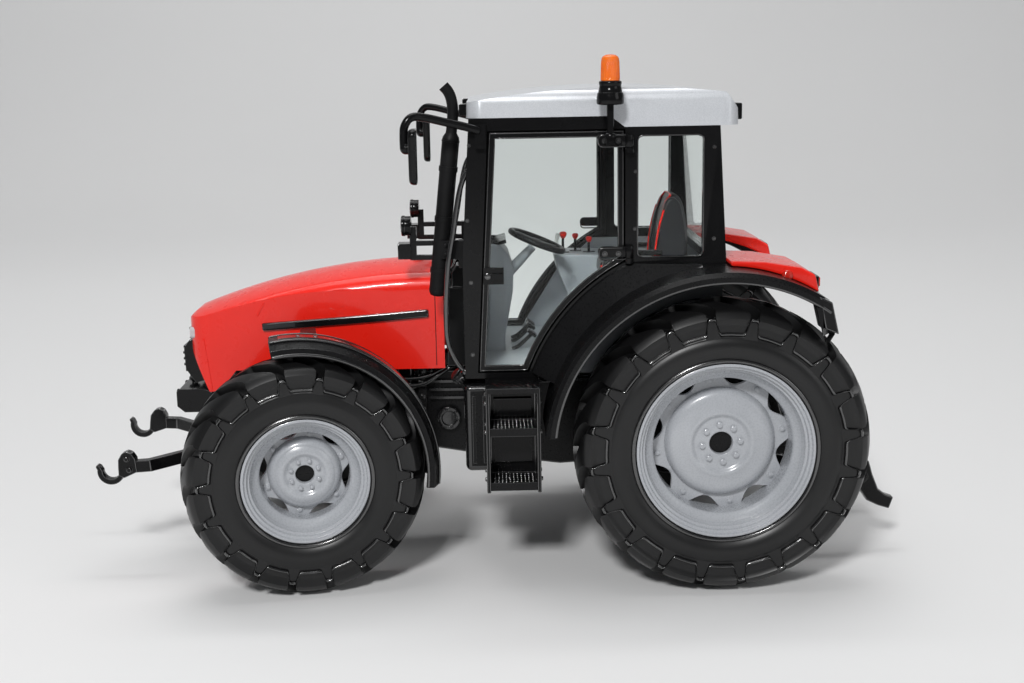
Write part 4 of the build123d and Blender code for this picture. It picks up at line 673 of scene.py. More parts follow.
# ---------------------------------------------------------------- shells: CAD shapes with rounded edges
SHELLS = (
    # node, where * is left and right; bevel in mm, slot, finish
    ("cab_frame", 0.24, "paint_black", black_gloss),
    ("door_*", 0.2, "paint_black", black_gloss),
    ("roof", 1.1, "paint_silver", silver),
    ("bonnet", 0.45, "paint_red", red_paint),
    ("bonnet_strips", 0.42, "paint_grey", strip_grey),
    ("rear_fenders", 0.85, "paint_red", red_paint),
    ("fender_flares", 0.24, "plastic_dark", black_satin),
    ("cab_tub", 0.22, "plastic_grey", tub_grey),
    ("side_consoles", 0.5, "plastic_grey", tub_grey),
    ("scuttle", 0.3, "plastic_dark", black_matt),
    ("steps", 0.18, "paint_black", black_gloss),
    ("battery_box", 0.35, "plastic_dark", black_satin),
    ("engine_block", 0.5, "paint_chassis", black_satin),
    ("gearbox_housing", 0.4, "paint_chassis", black_satin),
    ("rear_axle_housing", 0.35, "paint_chassis", black_satin),
    ("front_axle_beam", 0.3, "paint_chassis", black_satin),
    ("front_support", 0.6, "paint_chassis", black_gloss),
    ("drawbar", 0.2, "paint_chassis", black_satin),
    ("top_link", 0.22, "paint_chassis", black_satin),
    ("work_lamps", 0.18, "plastic_dark", black_gloss),
    ("front_mudguard_*", 0.2, "plastic_dark", black_satin),
    ("steering_knuckle_*", 0.25, "paint_chassis", black_satin),
    ("rear_link_*", 0.24, "paint_chassis", black_gloss),
)
for pattern, bevel, slot, finish in SHELLS:
    twins = [pattern.replace("*", side) for side, _ in SIDES] if "*" in pattern else [pattern]
    for node in twins:
        shell = Piece(f"{node}_shell", slot, finish, nodes[node]["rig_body"])
        shell.copy(node).done(node, bevel=bevel)


# ---------------------------------------------------------------- bonnet
OUTSIDE = 30.0  # how far from the middle plane the rays that find the bonnet's side start


def skin_of(node):
    """Search tree of a CAD node's faces, in millimetres."""
    part = bmesh.new()
    part.from_mesh(nodes[node].data)
    bmesh.ops.scale(part, vec=Vector((1, 1, 1)) / MM, verts=part.verts)
    tree = BVHTree.FromBMesh(part)
    part.free()
    return tree


def ribbon(piece, tree, starts, toward, width, lift=0.03):
    """Thin raised band that lies on a skin, where rays from these starts meet it."""
    hits = []
    for start in starts:
        spot, normal, _, _ = tree.ray_cast(Vector(start), toward)
        if spot:
            hits.append((spot, normal))
    rings = []
    for i, (spot, normal) in enumerate(hits):
        ahead = (hits[min(i + 1, len(hits) - 1)][0] - hits[max(i - 1, 0)][0]).normalized()
        across = ahead.cross(normal).normalized() * width / 2
        rings.append([spot - across - 0.08 * normal, spot - across + lift * normal,
                      spot + across + lift * normal, spot + across - 0.08 * normal])
    if len(rings) > 1:
        piece.loft(rings, caps=True)


bonnet_low, bonnet_high = ends("bonnet")
bonnet_skin = skin_of("bonnet")


def bonnet_seams():
    """Dark joint line round the bonnet's rear end."""
    piece = Piece("bonnet_joint_lines", "plastic_dark", black_matt, "bonnet")
    x = bonnet_low.x + 1.6
    for s in (1, -1):
        up = [(x, s * OUTSIDE, 37.6 + 0.5 * i) for i in range(31)]
        ribbon(piece, bonnet_skin, up, -s * Y, 0.14)
    over = [(x, -10.0 + 0.5 * i, 70.0) for i in range(41)]
    ribbon(piece, bonnet_skin, over, -Z, 0.14)
    piece.done(sharp=50.0)


def bonnet_trim():
    """Rounded bar along each side strip, and the pressed creases of the side panels."""
    low, high = ends("bonnet_strips")
    bars = Piece("bonnet_strip_bars", "paint_grey", black_gloss, "bonnet")
    creases = Piece("bonnet_creases", "paint_red", red_paint, "bonnet")
    strip_line = ((low.x, 47.6), (20.0, 47.05), (high.x, 45.35))
    for s in (1, -1):
        run = []
        for (x0, z0), (x1, z1) in zip(strip_line, strip_line[1:]):
            run += [(x0 + (x1 - x0) * i / 12, s * OUTSIDE, z0 + (z1 - z0) * i / 12) for i in range(12)]
        run.append((high.x, s * OUTSIDE, strip_line[-1][1]))
        ribbon(bars, bonnet_skin, run, -s * Y, 1.5, 0.62)
        nose = [(bonnet_high.x - 3.4 - 0.05 * i, s * OUTSIDE, 43.0 - 0.45 * i) for i in range(24)]
        slant = [(bonnet_high.x - 15.5 + 0.18 * i, s * OUTSIDE, 50.0 - 0.32 * i) for i in range(9)]
        ribbon(creases, bonnet_skin, nose, -s * Y, 0.5, 0.09)
        ribbon(creases, bonnet_skin, slant, -s * Y, 0.4, 0.09)
    bars.done(bevel=0.3, steps=3)
    creases.done(bevel=0.06)


def nose_grille():
    """Black panel with rounded slats that follow the nose's curve."""
    low, high = ends("nose_grille")
    piece = Piece("grille_slats", "plastic_dark", black_gloss, "bonnet").copy("nose_grille")
    skin = skin_of("nose_grille")
    for i in range(6):
        z = low.z + 1.3 + 1.15 * i
        spot, _, _, _ = skin.ray_cast(Vector((high.x + 5, 0, z)), -X)
        if spot:
            piece.block((spot.x - 0.05, 0, z), (0.8, high.y - low.y - 0.9, 0.42))
    piece.done("nose_grille", bevel=0.12)


def headlamps():
    """Two clear lamps, sunk a little into the nose, with black frames."""
    low, high = ends("headlamps")
    lenses = Piece("headlamp_lenses", "lens_clear", clear_lens, "bonnet").copy("headlamps")
    frames = Piece("headlamp_frames", "plastic_dark", black_gloss, "bonnet")
    skin = skin_of("headlamps")
    start_x, mid_z, half_h = high.x + 4.0, (low.z + high.z) / 2, (high.z - low.z) / 2 - 0.2
    out_y, in_y = high.y - 0.25, high.y - 2.5
    for s in (1, -1):
        across = [s * (in_y + (out_y - in_y) * i / 8) for i in range(9)]
        for z in (mid_z + half_h, mid_z - half_h):
            ribbon(frames, skin, [(start_x, y, z) for y in across], -X, 0.26, 0.1)
        upright = [(start_x, s * in_y, mid_z + half_h * (i - 4) / 4) for i in range(9)]
        ribbon(frames, skin, upright, -X, 0.26, 0.1)
    for piece in (lenses, frames):
        bmesh.ops.translate(piece.shape, verts=piece.shape.verts, vec=-1.2 * X)
    lenses.done("headlamps", bevel=0.25, steps=3)
    frames.done(sharp=50.0)


bonnet_seams()
bonnet_trim()
nose_grille()
headlamps()


# ---------------------------------------------------------------- cab outside
CAB_Y = 22.4  # outer face of the cab's frame and doors
STRAP_Y = CAB_Y + 0.8  # outer face of the doors' hinge straps
STRAP_HEIGHTS = (79.4, 59.75)
HINGE_X = -23.7
ARCH_R = 36.2  # of a door's lower rear edge, about the rear axle
REAR_AXLE = middle("rear_tyre_left")
door_low, door_high = ends("door_left")
roof_high = ends("roof")[1]


def door_path(inset):
    """Outline of a door in (x, z), this far inside its edge; its lower rear corner follows the arch."""
    top, foot = door_high.z - inset, door_low.z + inset
    rear, arch_r = HINGE_X + 0.9 + inset, ARCH_R + inset
    high = math.degrees(math.acos((rear - REAR_AXLE.x) / arch_r))
    low = math.degrees(math.asin((foot - REAR_AXLE.z) / arch_r))
    front = [(3.0 - inset, foot), (0.5 - inset, top), (rear, top)]
    return front + arc((REAR_AXLE.x, REAR_AXLE.z), arch_r, high, low, 20)


def bead(piece, path, y, radius):
    """Round bead that closes on itself along a path of (x, z)."""
    line = [Vector((x, y, z)) for x, z in path]
    dense = []
    for a, b in zip(line, line[1:] + line[:1]):
        count = max(1, int((b - a).length / 1.2))
        dense += [a + (b - a) * (i / count) for i in range(count)]
    piece.tube(dense + dense[:1], radius, 8, caps=False)


def cab_seals():
    """Rubber seals behind the doors' edges, and beads round the quarter windows."""
    seals = Piece("door_seals", "plastic_dark", black_matt)
    bead(seals, door_path(-0.1), CAB_Y - 2.1, 0.55)
    seals.mirrored().done(sharp=60.0)
    low, high = ends("quarter_windows")
    centre = middle("quarter_windows")
    beads = Piece("window_beads", "plastic_dark", edge_gloss)
    bead(beads, rounded(high.x - low.x, high.z - low.z, 1.0, (centre.x, centre.z)), CAB_Y, 0.16)
    beads.mirrored().done(sharp=60.0)


def door_beads(side, s):
    """Beads round the door glass, the door's edge and the hinge straps."""
    piece = Piece(f"door_beads_{side}", "plastic_dark", edge_gloss, f"door_{side}")
    bead(piece, door_path(0.95), s * CAB_Y, 0.15)
    bead(piece, door_path(0.12), s * (CAB_Y - 0.06), 0.12)
    for z in STRAP_HEIGHTS:
        bead(piece, rounded(5.1, 2.0, 0.7, (-20.95, z)), s * (STRAP_Y - 0.02), 0.14)
    piece.done(sharp=60.0)


def cab_bolts():
    """Small domed bolts on the posts and cross members."""
    piece = Piece("cab_bolts", "paint_black", edge_gloss)
    spots = ((4.0, 79.0), (4.6, 66.0), (4.2, 55.0), (4.2, 42.0), (-24.8, 64.0), (-24.9, 74.0), (-38.7, 62.0),
             (-38.6, 78.0))
    piece.bolts([(x, CAB_Y - 0.02, z) for x, z in spots], Y, 0.26, 0.26, 12)
    piece.mirrored().done(sharp=30.0)


def door_fittings(side, s):
    """Bolts on the hinge straps, the lock plate and its key barrel."""
    piece = Piece(f"door_fittings_{side}", "paint_black", edge_gloss, f"door_{side}")
    for z in STRAP_HEIGHTS:
        piece.bolts([(x, s * (STRAP_Y - 0.02), z) for x in (-19.4, -21.8)], s * Y, 0.36, 0.36, 12)
    piece.lathe([(0, 0.62), (0.3, 0.6), (0.38, 0.5), (0.38, 0.2), (0.2, 0.15), (0.2, 0)],
                place((1.2, s * (CAB_Y + 0.58), 56.2), s * Y), 24)
    piece.done(sharp=30.0)


def handrails():
    """Tube that bows out ahead of each front post, on flanged feet."""
    y = ends("handrails")[1].y - 0.5
    path = ((3.4, 74.8), (4.9, 73.6), (6.0, 70.4), (7.1, 64.1), (8.2, 57.8), (8.75, 50.0), (8.6, 44.4),
            (7.2, 40.6), (5.4, 38.5))
    piece = Piece("handrail_tubes", "paint_black", edge_gloss)
    piece.pipe([(x, y, z) for x, z in path], 0.48)
    for x, z, lean in ((3.9, 74.4, (0.6, 0, -0.8)), (5.7, 38.9, (0.6, 0, 0.8))):
        piece.lathe([(-0.4, 0.9), (0.1, 0.9), (0.25, 0.78), (0.3, 0.5)], place((x, y, z), lean), 20)
    piece.mirrored().done("handrails", sharp=40.0)


def mirrors():
    """Bent tube arm, ball joint and a housing with rounded corners round its mirror face."""
    y = CAB_Y + 5.0

    def ring(x, shrink):
        tall = shrink + (1 - shrink) * 0.4
        outline = rounded(5.4, 9.4, 1.3, narrowed=0.5)
        return [Vector((x, y + u * shrink, 77.6 + v * tall)) for u, v in outline]

    arm = ((2.2, y - 4.0, 81.6), (4.9, y - 3.3, 82.4), (7.6, y - 2.5, 83.1), (11.6, y - 1.2, 84.1),
           (13.6, y - 0.4, 84.1), (14.7, y, 82.7), (14.9, y, 80.8), (14.9, y, 78.9))
    housing = Piece("mirror_housings", "plastic_dark", black_gloss)
    housing.pipe(arm, 0.72)
    housing.block((2.0, y - 4.4, 80.6), (1.9, 1.2, 4.2))
    housing.ball((14.6, y, 79.0), 1.0)
    housing.lathe([(0, 0.95), (0.4, 1.0), (0.8, 0.8)], place((13.9, y, 79.0), X), 20)
    # from the rim round the face to the rounded back
    housing.loft([ring(x, shrink) for x, shrink in (
        (13.25, 0.88), (12.87, 0.9), (12.85, 0.97), (13.0, 1.0), (13.5, 1.0), (13.9, 0.95), (14.12, 0.84),
        (14.15, 0.5))], caps=True)
    housing.mirrored().done("mirrors", sharp=38.0)
    face = Piece("mirror_faces", "lens_clear", mirror_face)
    face.loft([ring(13.2, 0.87), ring(13.05, 0.87)], caps=True)
    face.mirrored().done(sharp=38.0)


def exhaust():
    """Matt muffler with welded end caps and clamp bands, and a pipe that bends forwards."""
    y = CAB_Y - 4.8
    low, high = Vector((10.4, y, 52.0)), Vector((7.1, y, 81.0))
    length = (high - low).length
    at = place(low, high - low)
    piece = Piece("exhaust_stack", "paint_black", black_matt)
    piece.lathe([
        (0, 0), (0, 0.9), (0.15, 1.25), (0.7, 1.52), (1.0, 1.55), (1.02, 1.6), (1.3, 1.6), (1.32, 1.54),
        (length - 1.6, 1.54), (length - 1.58, 1.6), (length - 1.3, 1.6), (length - 1.28, 1.55),
        (length - 0.7, 1.42), (length - 0.2, 1.1), (length, 1.0)], at, 40)
    for h in (4.2, 13.5, 22.4):
        piece.lathe([(h, 1.5), (h, 1.68), (h + 0.9, 1.68), (h + 0.9, 1.5)], at, 40)
    path = ((7.2, 80.4), (6.85, 83.0), (6.75, 85.2), (7.0, 87.0), (7.5, 88.2), (8.2, 89.05))
    pipe = smooth_line([(x, y, z) for x, z in path], 8)
    piece.tube(pipe, 0.98, steps=28, caps=False)
    piece.lathe([(-0.1, 0.98), (0.02, 1.0), (0.12, 0.94), (0.1, 0.8), (-0.1, 0.74), (-2.0, 0.72), (-2.0, 0)],
                place(pipe[-1], pipe[-1] - pipe[-2]), 28)
    # bracket to the front post
    piece.block((6.9, y + 1.6, 60.6), (5.2, 1.2, 3.2))
    piece.block((5.6, y + 2.4, 60.6), (1.2, 1.0, 3.2))
    piece.bolts([(8.6, y + 2.2, z) for z in (61.4, 59.8)], Y, 0.4, 0.4)
    piece.done("exhaust", sharp=38.0)


def beacon():
    """Ribbed orange lens on a black bell, which a stalk carries on the door's strap."""
    low, high = ends("beacon_lens")
    stalk = ends("beacon_base")[0].z
    at = Matrix.Translation((middle("beacon_lens").x, middle("beacon_lens").y, 0))
    foot = low.z - 4.0
    bell = ((0, 0.6), (0, 1.9), (0.12, 2.25), (0.3, 2.33), (1.2, 2.35), (1.5, 2.28), (2.0, 2.2), (2.1, 2.05),
            (3.0, 1.88), (3.3, 1.86), (3.5, 1.95), (3.85, 1.93), (3.98, 1.78), (4.0, 1.5), (4.0, 0))
    base = Piece("beacon_bell", "plastic_dark", black_gloss, "door_left")
    base.lathe([(stalk, 0.6)] + [(foot + h, r) for h, r in bell], at, 48)
    base.lathe([(stalk, 1.0), (stalk + 0.5, 1.0), (stalk + 0.7, 0.8), (stalk + 0.8, 0.6)], at, 24)
    base.done("beacon_base", sharp=38.0)
    dome = Piece("beacon_dome", "lens_orange", orange_lens, "door_left")
    tall = high.z - low.z
    ribs = (0.03, 0.0, -0.03, 0.0)
    dome.loft([fluted_ring(at, low.z + h, r, flutes) for h, r, flutes in (
        (0, 1.62, (0,)), (0.06, 1.65, (0,)), (0.3, 1.65, (0,)), (0.36, 1.6, ribs), (0.5, 1.6, ribs),
        (tall - 1.3, 1.52, ribs), (tall - 1.1, 1.5, ribs), (tall - 1.0, 1.54, (0,)), (tall - 0.7, 1.5, (0,)),
        (tall - 0.35, 1.3, (0,)), (tall - 0.1, 0.9, (0,)), (tall, 0.45, (0,)))], caps=True)
    dome.done("beacon_lens", sharp=60.0)


def lamp_frame(piece, centre, half_y, half_z, long, tall, bar, depth):
    """Four bars round an oblong lamp that looks along X."""
    for s in (1, -1):
        piece.block(Vector(centre) + s * half_z * Z, (depth, long, bar))
        piece.block(Vector(centre) + s * half_y * Y, (depth, bar, tall))


def lamp_glass():
    """Lenses of the work lamps with their rims: round and oblong by the bonnet, oblong on the roof."""
    y = 14.6
    lenses = Piece("work_lamp_lenses", "lens_clear", clear_lens)
    rims = Piece("work_lamp_rims", "plastic_dark", black_gloss)
    lenses.lathe([(0, 1.35), (0.12, 1.3), (0.25, 1.0), (0.34, 0.5), (0.36, 0)], place((16.5, y, 64.4), X), 32)
    rims.lathe([(-0.5, 1.6), (-0.5, 1.86), (0.1, 1.86), (0.22, 1.72), (0.22, 1.5), (0.05, 1.4)],
               place((16.45, y, 64.4), X), 36)
    lenses.block((17.12, y, 59.9), (0.25, 2.5, 2.1))
    lamp_frame(rims, (17.1, y, 59.9), 1.4, 1.25, 3.1, 2.6, 0.35, 0.5)
    for x, y, z, width, height, out in (
            (ends("work_lamps")[0].x, roof_high.y - 6.1, 83.9, 3.4, 2.0, -1),
            (roof_high.x + 1.1, roof_high.y - 4.6, 85.0, 2.7, 1.3, 1)):
        lenses.block((x + 0.02 * out, y, z), (0.2, width, height))
        lamp_frame(rims, (x, y, z), width / 2 + 0.15, height / 2 + 0.15, width + 0.6, height + 0.3, 0.3, 0.3)
    lenses.mirrored().done(bevel=0.07)
    rims.mirrored().done(bevel=0.08)


def tail_lights():
    """Round orange-red side lamps and oblong rear lamps, on black seats."""
    low, high = ends("tail_lamps")
    seats = Piece("tail_lamp_seats", "plastic_dark", black_gloss)
    lenses = Piece("tail_lamp_lenses", "lens_red", red_lens)
    out_y = high.y - 0.6
    y, z = out_y - 5.0, low.z + 1.0
    lenses.lathe([(0, 1.0), (0.15, 1.0), (0.4, 0.85), (0.58, 0.5), (0.62, 0)],
                 place((low.x + 6.5, out_y, high.z - 1.1), Y), 32)
    for dy, wide in ((-1.6, 2.3), (1.4, 2.9)):
        lenses.block((low.x + 0.55, y + dy, z), (0.8, wide, 1.6))
    seats.block((low.x + 0.75, y, z), (0.6, 6.2, 2.1))
    lenses.mirrored().done("tail_lamps", bevel=0.15)
    seats.mirrored().done(bevel=0.1)


cab_bolts()
cab_seals()
for side, s in SIDES:
    door_fittings(side, s)
    door_beads(side, s)
handrails()
mirrors()
exhaust()
beacon()
lamp_glass()
tail_lights()


# ---------------------------------------------------------------- cab inside
# side view of the seat's back, from the foot of its front face over the top and down behind
SEAT_BACK = ((-31.2, 54.6), (-31.0, 58.0), (-31.6, 62.5), (-32.6, 66.2), (-33.6, 67.9), (-35.0, 67.7),
             (-36.0, 65.8), (-36.8, 61.0), (-36.9, 55.6))


def seat():
    """Moulded seat: cushion, bolsters and a leaning back."""
    piece = Piece("seat_shell", "seat_black", seat_vinyl)
    piece.block((-25.4, 0, 53.9), (10.6, 8.0, 2.5), turned(-4))
    for s in (1, -1):
        piece.block((-25.6, s * 4.7, 54.2), (10.2, 2.2, 3.0), turned(-4))
    # back: a wedge that leans, with bolsters that stand ahead of its middle
    back = smooth_line([(x, 0, z) for x, z in SEAT_BACK], 4)
    for y, wide, ahead in ((3.6, 7.2, 0.0), (5.5, 2.4, 0.55), (-3.1, 2.4, 0.55)):
        grow = 1.0 + 0.04 * ahead
        outline = [(-33.5 + grow * (p.x + 33.5) + 0.9 * ahead, 55.0 + grow * (p.z - 55.0) - 1.4 * ahead)
                   for p in back]
        piece.prism(outline, upright(y), wide)
    piece.done("seat", bevel=0.6, steps=3)


def seat_base():
    """Ribbed bellows under the seat, its slide and the armrests."""
    piece = Piece("seat_base", "seat_black", black_matt)
    for i in range(4):
        piece.block((-26.6, 0, 49.6 + 0.75 * i), (7.6 - 0.5 * (i % 2), 7.0 - 0.5 * (i % 2), 0.72))
    piece.block((-26.4, 0, 52.4), (9.6, 9.4, 0.5))
    for s in (1, -1):
        piece.block((-29.0, s * 5.75, 57.4), (5.6, 0.8, 1.0))
    piece.done(bevel=0.2)


def seat_piping():
    """Red piping along the edges of the cushion, the back and its bolsters."""
    piece = Piece("seat_piping", "paint_red", red_paint)
    for s in (1, -1):
        edge = [(x + 0.12, s * 3.62, z) for x, z in SEAT_BACK[:5]]
        bolster = [(x + 0.55, s * 5.45, z - 0.9) for x, z in SEAT_BACK[:4]]
        cushion = [(-20.3, s * 3.8, 54.6), (-22.5, s * 3.9, 55.3), (-30.0, s * 3.9, 54.9)]
        for path, radius in ((edge, 0.22), (bolster, 0.2), (cushion, 0.2)):
            piece.pipe(path, radius, 8)
    piece.pipe([(-33.5, -3.62, 67.9), (-33.6, 0, 68.1), (-33.5, 3.62, 67.9)], 0.2, 8)
    piece.done(sharp=60.0)


def steering_wheel():
    """Round rim, three flat spokes and a domed boss."""
    axis = turned(-22.0).to_3x3() @ Z
    at = place(middle("steering_wheel") + 0.1 * axis, axis)
    piece = Piece("steering_wheel_rim", "plastic_dark", black_satin)
    piece.lathe([(0.58 * math.sin(a), 5.32 + 0.58 * math.cos(a)) for a in around(14)], at, 72, closed=True)
    spoke = [(0.8, -0.95), (3.0, -0.6), (5.2, -0.75), (5.2, 0.75), (3.0, 0.6), (0.8, 0.95)]
    for k in range(3):
        piece.prism(spoke, at @ turned(120 * k + 60, "Z") @ Matrix.Translation((0, 0, -0.35)), 0.5)
    piece.lathe([(-0.95, 0.7), (-0.95, 1.3), (-0.2, 1.65), (0.1, 1.5), (0.3, 0.9), (0.36, 0)], at, 32)
    piece.done("steering_wheel", bevel=0.12, sharp=36.0)


def dash_shell():
    """Console with a waist, and the slim steering column."""
    piece = Piece("dash_body", "plastic_grey", tub_grey)
    rings = []
    for x, z, long, wide, corner in (
            (0.4, 38.85, 4.6, 9.6, 1.0), (0.2, 41.5, 4.2, 9.0, 1.2), (-0.4, 45.5, 4.6, 7.6, 1.4),
            (-0.8, 50.0, 5.4, 7.8, 1.5), (-0.6, 54.5, 6.2, 9.4, 1.5), (0.0, 57.5, 5.4, 11.0, 1.2),
            (0.7, 59.2, 4.0, 11.2, 0.9), (0.9, 59.6, 3.2, 10.4, 0.8)):
        rings.append([Vector((u, v, z)) for u, v in rounded(long, wide, corner, (x, 0))])
    piece.loft(rings, caps=True)
    column = [Vector((-2.0, 0, 52.6)), Vector((-4.6, 0, 55.2)), Vector((-7.5, 0, 58.2))]
    piece.tube(column, lambda t: 1.15 - 0.35 * t, 24)
    piece.done("dash_console", sharp=35.0)


def dash_details():
    """Dials with their needles and ticks, and a row of switches under a visor."""
    dials = Piece("dash_dials", "plastic_dark", black_gloss)
    marks = Piece("dash_marks", "lens_clear", mark_white)
    face = Vector((-0.78, 0, 0.62)).normalized()
    needle = [(-0.06, -0.2), (0.06, -0.2), (0.03, 0.8), (-0.03, 0.8)]
    tick = [(0.82, -0.03), (0.95, -0.03), (0.95, 0.03), (0.82, 0.03)]
    for y, r, turn in ((-2.6, 1.05, 20), (0.0, 1.3, -35), (2.6, 1.05, 60)):
        spot = Vector((-1.2, y, 58.1))
        dials.lathe([(-0.4, r), (0.12, r), (0.2, r - 0.12), (0.08, r - 0.2), (0.08, 0)],
                    place(spot, face), 28)
        at = place(spot + 0.1 * face, face, turn)
        marks.prism(needle, at, 0.05)
        for k in range(9):
            marks.prism(tick, at @ turned(30 * k - turn + 60, "Z"), 0.03)
    for i in range(5):
        dials.block((-2.9, -3.6 + 1.8 * i, 55.4), (0.5, 1.0, 0.7), turned(-40))
    dials.block((-0.6, 0, 59.55), (3.6, 10.6, 0.7), turned(14))
    dials.done(bevel=0.1)
    marks.done(sharp=30.0)


def levers():
    """Lever sticks in their slots with red knobs, one white lever, switches and the pedals."""
    top_z = 55.3  # of the side console
    sticks = Piece("lever_sticks", "plastic_dark", black_satin)
    knobs = Piece("lever_knobs", "paint_red", red_paint)
    for x, y, tall, r in ((-14.0, -11.0, 3.4, 0.75), (-16.6, -13.4, 2.8, 0.65), (-19.2, -11.2, 2.4, 0.65)):
        stick = [(x, y, top_z), (x + 0.05, y, top_z + 0.6 * tall), (x, y, top_z + 0.1 + tall)]
        sticks.pipe(stick, 0.26, 12)
        sticks.block((x, y, top_z + 0.14), (2.4, 0.9, 0.14))
        knobs.lathe([(-r, 0), (-0.8 * r, 0.55 * r), (0, 0.95 * r), (0.5 * r, r), (0.85 * r, 0.7 * r), (r, 0)],
                    place((x, y, top_z + 0.2 + tall)), 24)
    for i in range(4):
        sticks.block((-23.0 - 1.6 * i, -11.5, top_z - 0.05), (0.9, 1.6, 0.5))
    for y in (-3.6, 3.6, -7.0):
        sticks.block((-7.0, y, 42.0), (1.9, 2.2, 0.6), turned(-38))
        for i in range(3):
            sticks.block((-7.45 + 0.5 * i, y, 41.85 + 0.39 * i), (0.18, 1.9, 0.4), turned(-38))
        sticks.pipe([(-3.2, y, 38.9), (-4.6, y, 39.6), (-6.9, y, 41.7)], 0.4, 10)
    sticks.done("levers_and_pedals", bevel=0.06)
    knobs.done(sharp=50.0)
    white = Piece("hand_lever", "plastic_grey", mark_white)
    white.pipe([(-13.0, -9.4, top_z), (-12.6, -9.4, 57.6), (-12.9, -9.4, 59.4)],
               lambda t: 0.25 + 0.2 * t, 12)
    white.done(sharp=50.0)


# ---------------------------------------------------------------- fenders and mudguards
REAR_TYRE_R = 26.25
FRONT_TYRE_R = 21.66


def fender_lips():
    """Rolled lip along the outer edge of each rear flare, and the flap at its rear end."""
    out_y = ends("fender_flares")[1].y
    lips = Piece("flare_lips", "plastic_dark", edge_gloss)
    path = arc((REAR_AXLE.x, REAR_AXLE.z), REAR_TYRE_R + 3.53, 6.5, 125.5, 90)
    lips.tube([Vector((u, out_y - 0.34, v)) for u, v in path], 0.36, 12)
    lips.mirrored().done(sharp=60.0)
    flaps = Piece("flare_flaps", "plastic_dark", black_gloss)
    flaps.prism([(-54.7, 53.3), (-57.0, 52.3), (-58.3, 46.7), (-55.9, 47.7)], upright(out_y - 0.05), 2.2)
    flaps.mirrored().done(bevel=0.25)


def mudguard_lips(side, s):
    """Rolled lips along a front mudguard's edges, ribs and a channel on its crown, and two bolts."""
    at = Matrix.Translation(middle(f"front_tyre_{side}")) @ turned(STEER_DEG, "Z")
    ahead = 0.85  # how far before the axle the guard is centred
    piece = Piece(f"mudguard_lips_{side}", "plastic_dark", edge_gloss, f"knuckle_{side}")
    for out, above, thick in ((4.55, 1.0, 0.3), (-5.2, 1.0, 0.26), (2.35, 3.22, 0.2), (-2.8, 3.22, 0.2)):
        path = arc((ahead, 0), FRONT_TYRE_R + above, 80.5, 187.0, 60)
        piece.tube([at @ Vector((u, s * out, v)) for u, v in path], thick, 10)
    channel = ((24.7, -1.5), (25.1, -1.35), (25.1, 1.05), (24.7, 1.2))
    piece.loft([[at @ Vector((ahead + u * r, s * y, v * r)) for r, y in channel]
                for u, v in arc((0, 0), 1.0, 84.0, 184.0, 50)], caps=True)
    for u, v in arc((ahead, 0), FRONT_TYRE_R + 3.1, 92.0, 99.0, 1):
        spot = at @ Vector((u, -0.2 * s, v))
        piece.bolt(place(spot, spot - at @ Vector((ahead, -0.2 * s, 0))), 0.5, 0.45)
    piece.done(sharp=60.0)


# ---------------------------------------------------------------- steps, tank
def step_treads():
    """Studded lower treads, a slatted upper one, folded edges and bolts."""
    low, high = ends("steps")
    out_y, in_y = high.y, high.y - 7.8
    mid_x, wide = (high.x + low.x) / 2, high.x - low.x - 1.8
    treads = Piece("step_treads", "paint_black", black_gloss)
    studs = Piece("step_studs", "paint_black", edge_gloss)
    for z in (low.z + 1.4, 30.1):
        for i in range(11):
            for k in range(6):
                spot = (mid_x + wide * (i - 5) / 11.6, in_y + 0.9 + 1.15 * k, z - 0.05)
                studs.lathe([(0, 0.30), (0.16, 0.26), (0.24, 0.15), (0.24, 0)], place(spot), 8)
        treads.block((mid_x, out_y - 0.95, z - 0.45), (wide + 0.6, 0.5, 1.5))
    for i in range(7):
        treads.block((mid_x + wide * (i - 3) / 7.4, in_y + 3.4, 37.45), (0.42, 5.6, 0.36), turned(24, "Z"))
    bolts = ((in_y + 1.2, 35.2), (in_y + 5.6, 34.6), (in_y + 1.2, 21.0), (out_y - 1.4, 21.0),
             (in_y + 1.2, 29.6), (out_y - 1.4, 29.6))
    for x, outward in ((high.x, 1), (low.x, -1)):
        studs.bolts([(x - 0.02 * outward, y, z) for y, z in bolts], outward * X, 0.36, 0.34, 12)
    for z, tall in ((32.6, 3.2), (25.0, 5.0)):
        treads.block((mid_x, in_y + 0.73, z), (wide - 1.0, 0.3, tall))
    treads.mirrored().done(bevel=0.07)
    studs.mirrored().done(sharp=40.0)


def fuel_tank():
    """Moulded tank with shallow upright ribs, its straps and brackets."""
    out_y, front_x, rear_x = CAB_Y + 0.1, 5.9, -7.0
    mid_x, mid_z = (front_x + rear_x) / 2, 28.3
    shell = Piece("fuel_tank_body", "plastic_dark", black_satin)
    shell.block((mid_x, (8.0 + out_y) / 2, mid_z), (front_x - rear_x, out_y - 8.0, 16.2))
    shell.done("fuel_tank", bevel=1.1, steps=4)
    trim = Piece("fuel_tank_ribs", "plastic_dark", black_gloss)
    for i in range(6):
        trim.block((rear_x + 1.7 + 1.9 * i, out_y - 0.03, mid_z - 0.2), (0.7, 0.3, 12.6))
    for x in (-4.0, 2.6):
        trim.block((x, 15.0, 36.95), (1.6, 8.0, 1.2))
    trim.block((-1.0, 7.3, 28.0), (6.0, 1.4, 5.0))
    trim.block((front_x + 0.02, 17.0, 31.0), (0.3, 5.0, 3.0))
    neck, lean = Vector((5.1, out_y - 4.6, 35.0)), Vector((0.46, 0.50, 0.73)).normalized()
    trim.lathe([(-0.6, 1.1), (2.9, 1.1), (3.0, 1.25), (3.3, 1.25)], place(neck, lean), 32)
    filler_cap(place(neck + 2.95 * lean, lean))
    trim.done(bevel=0.08)


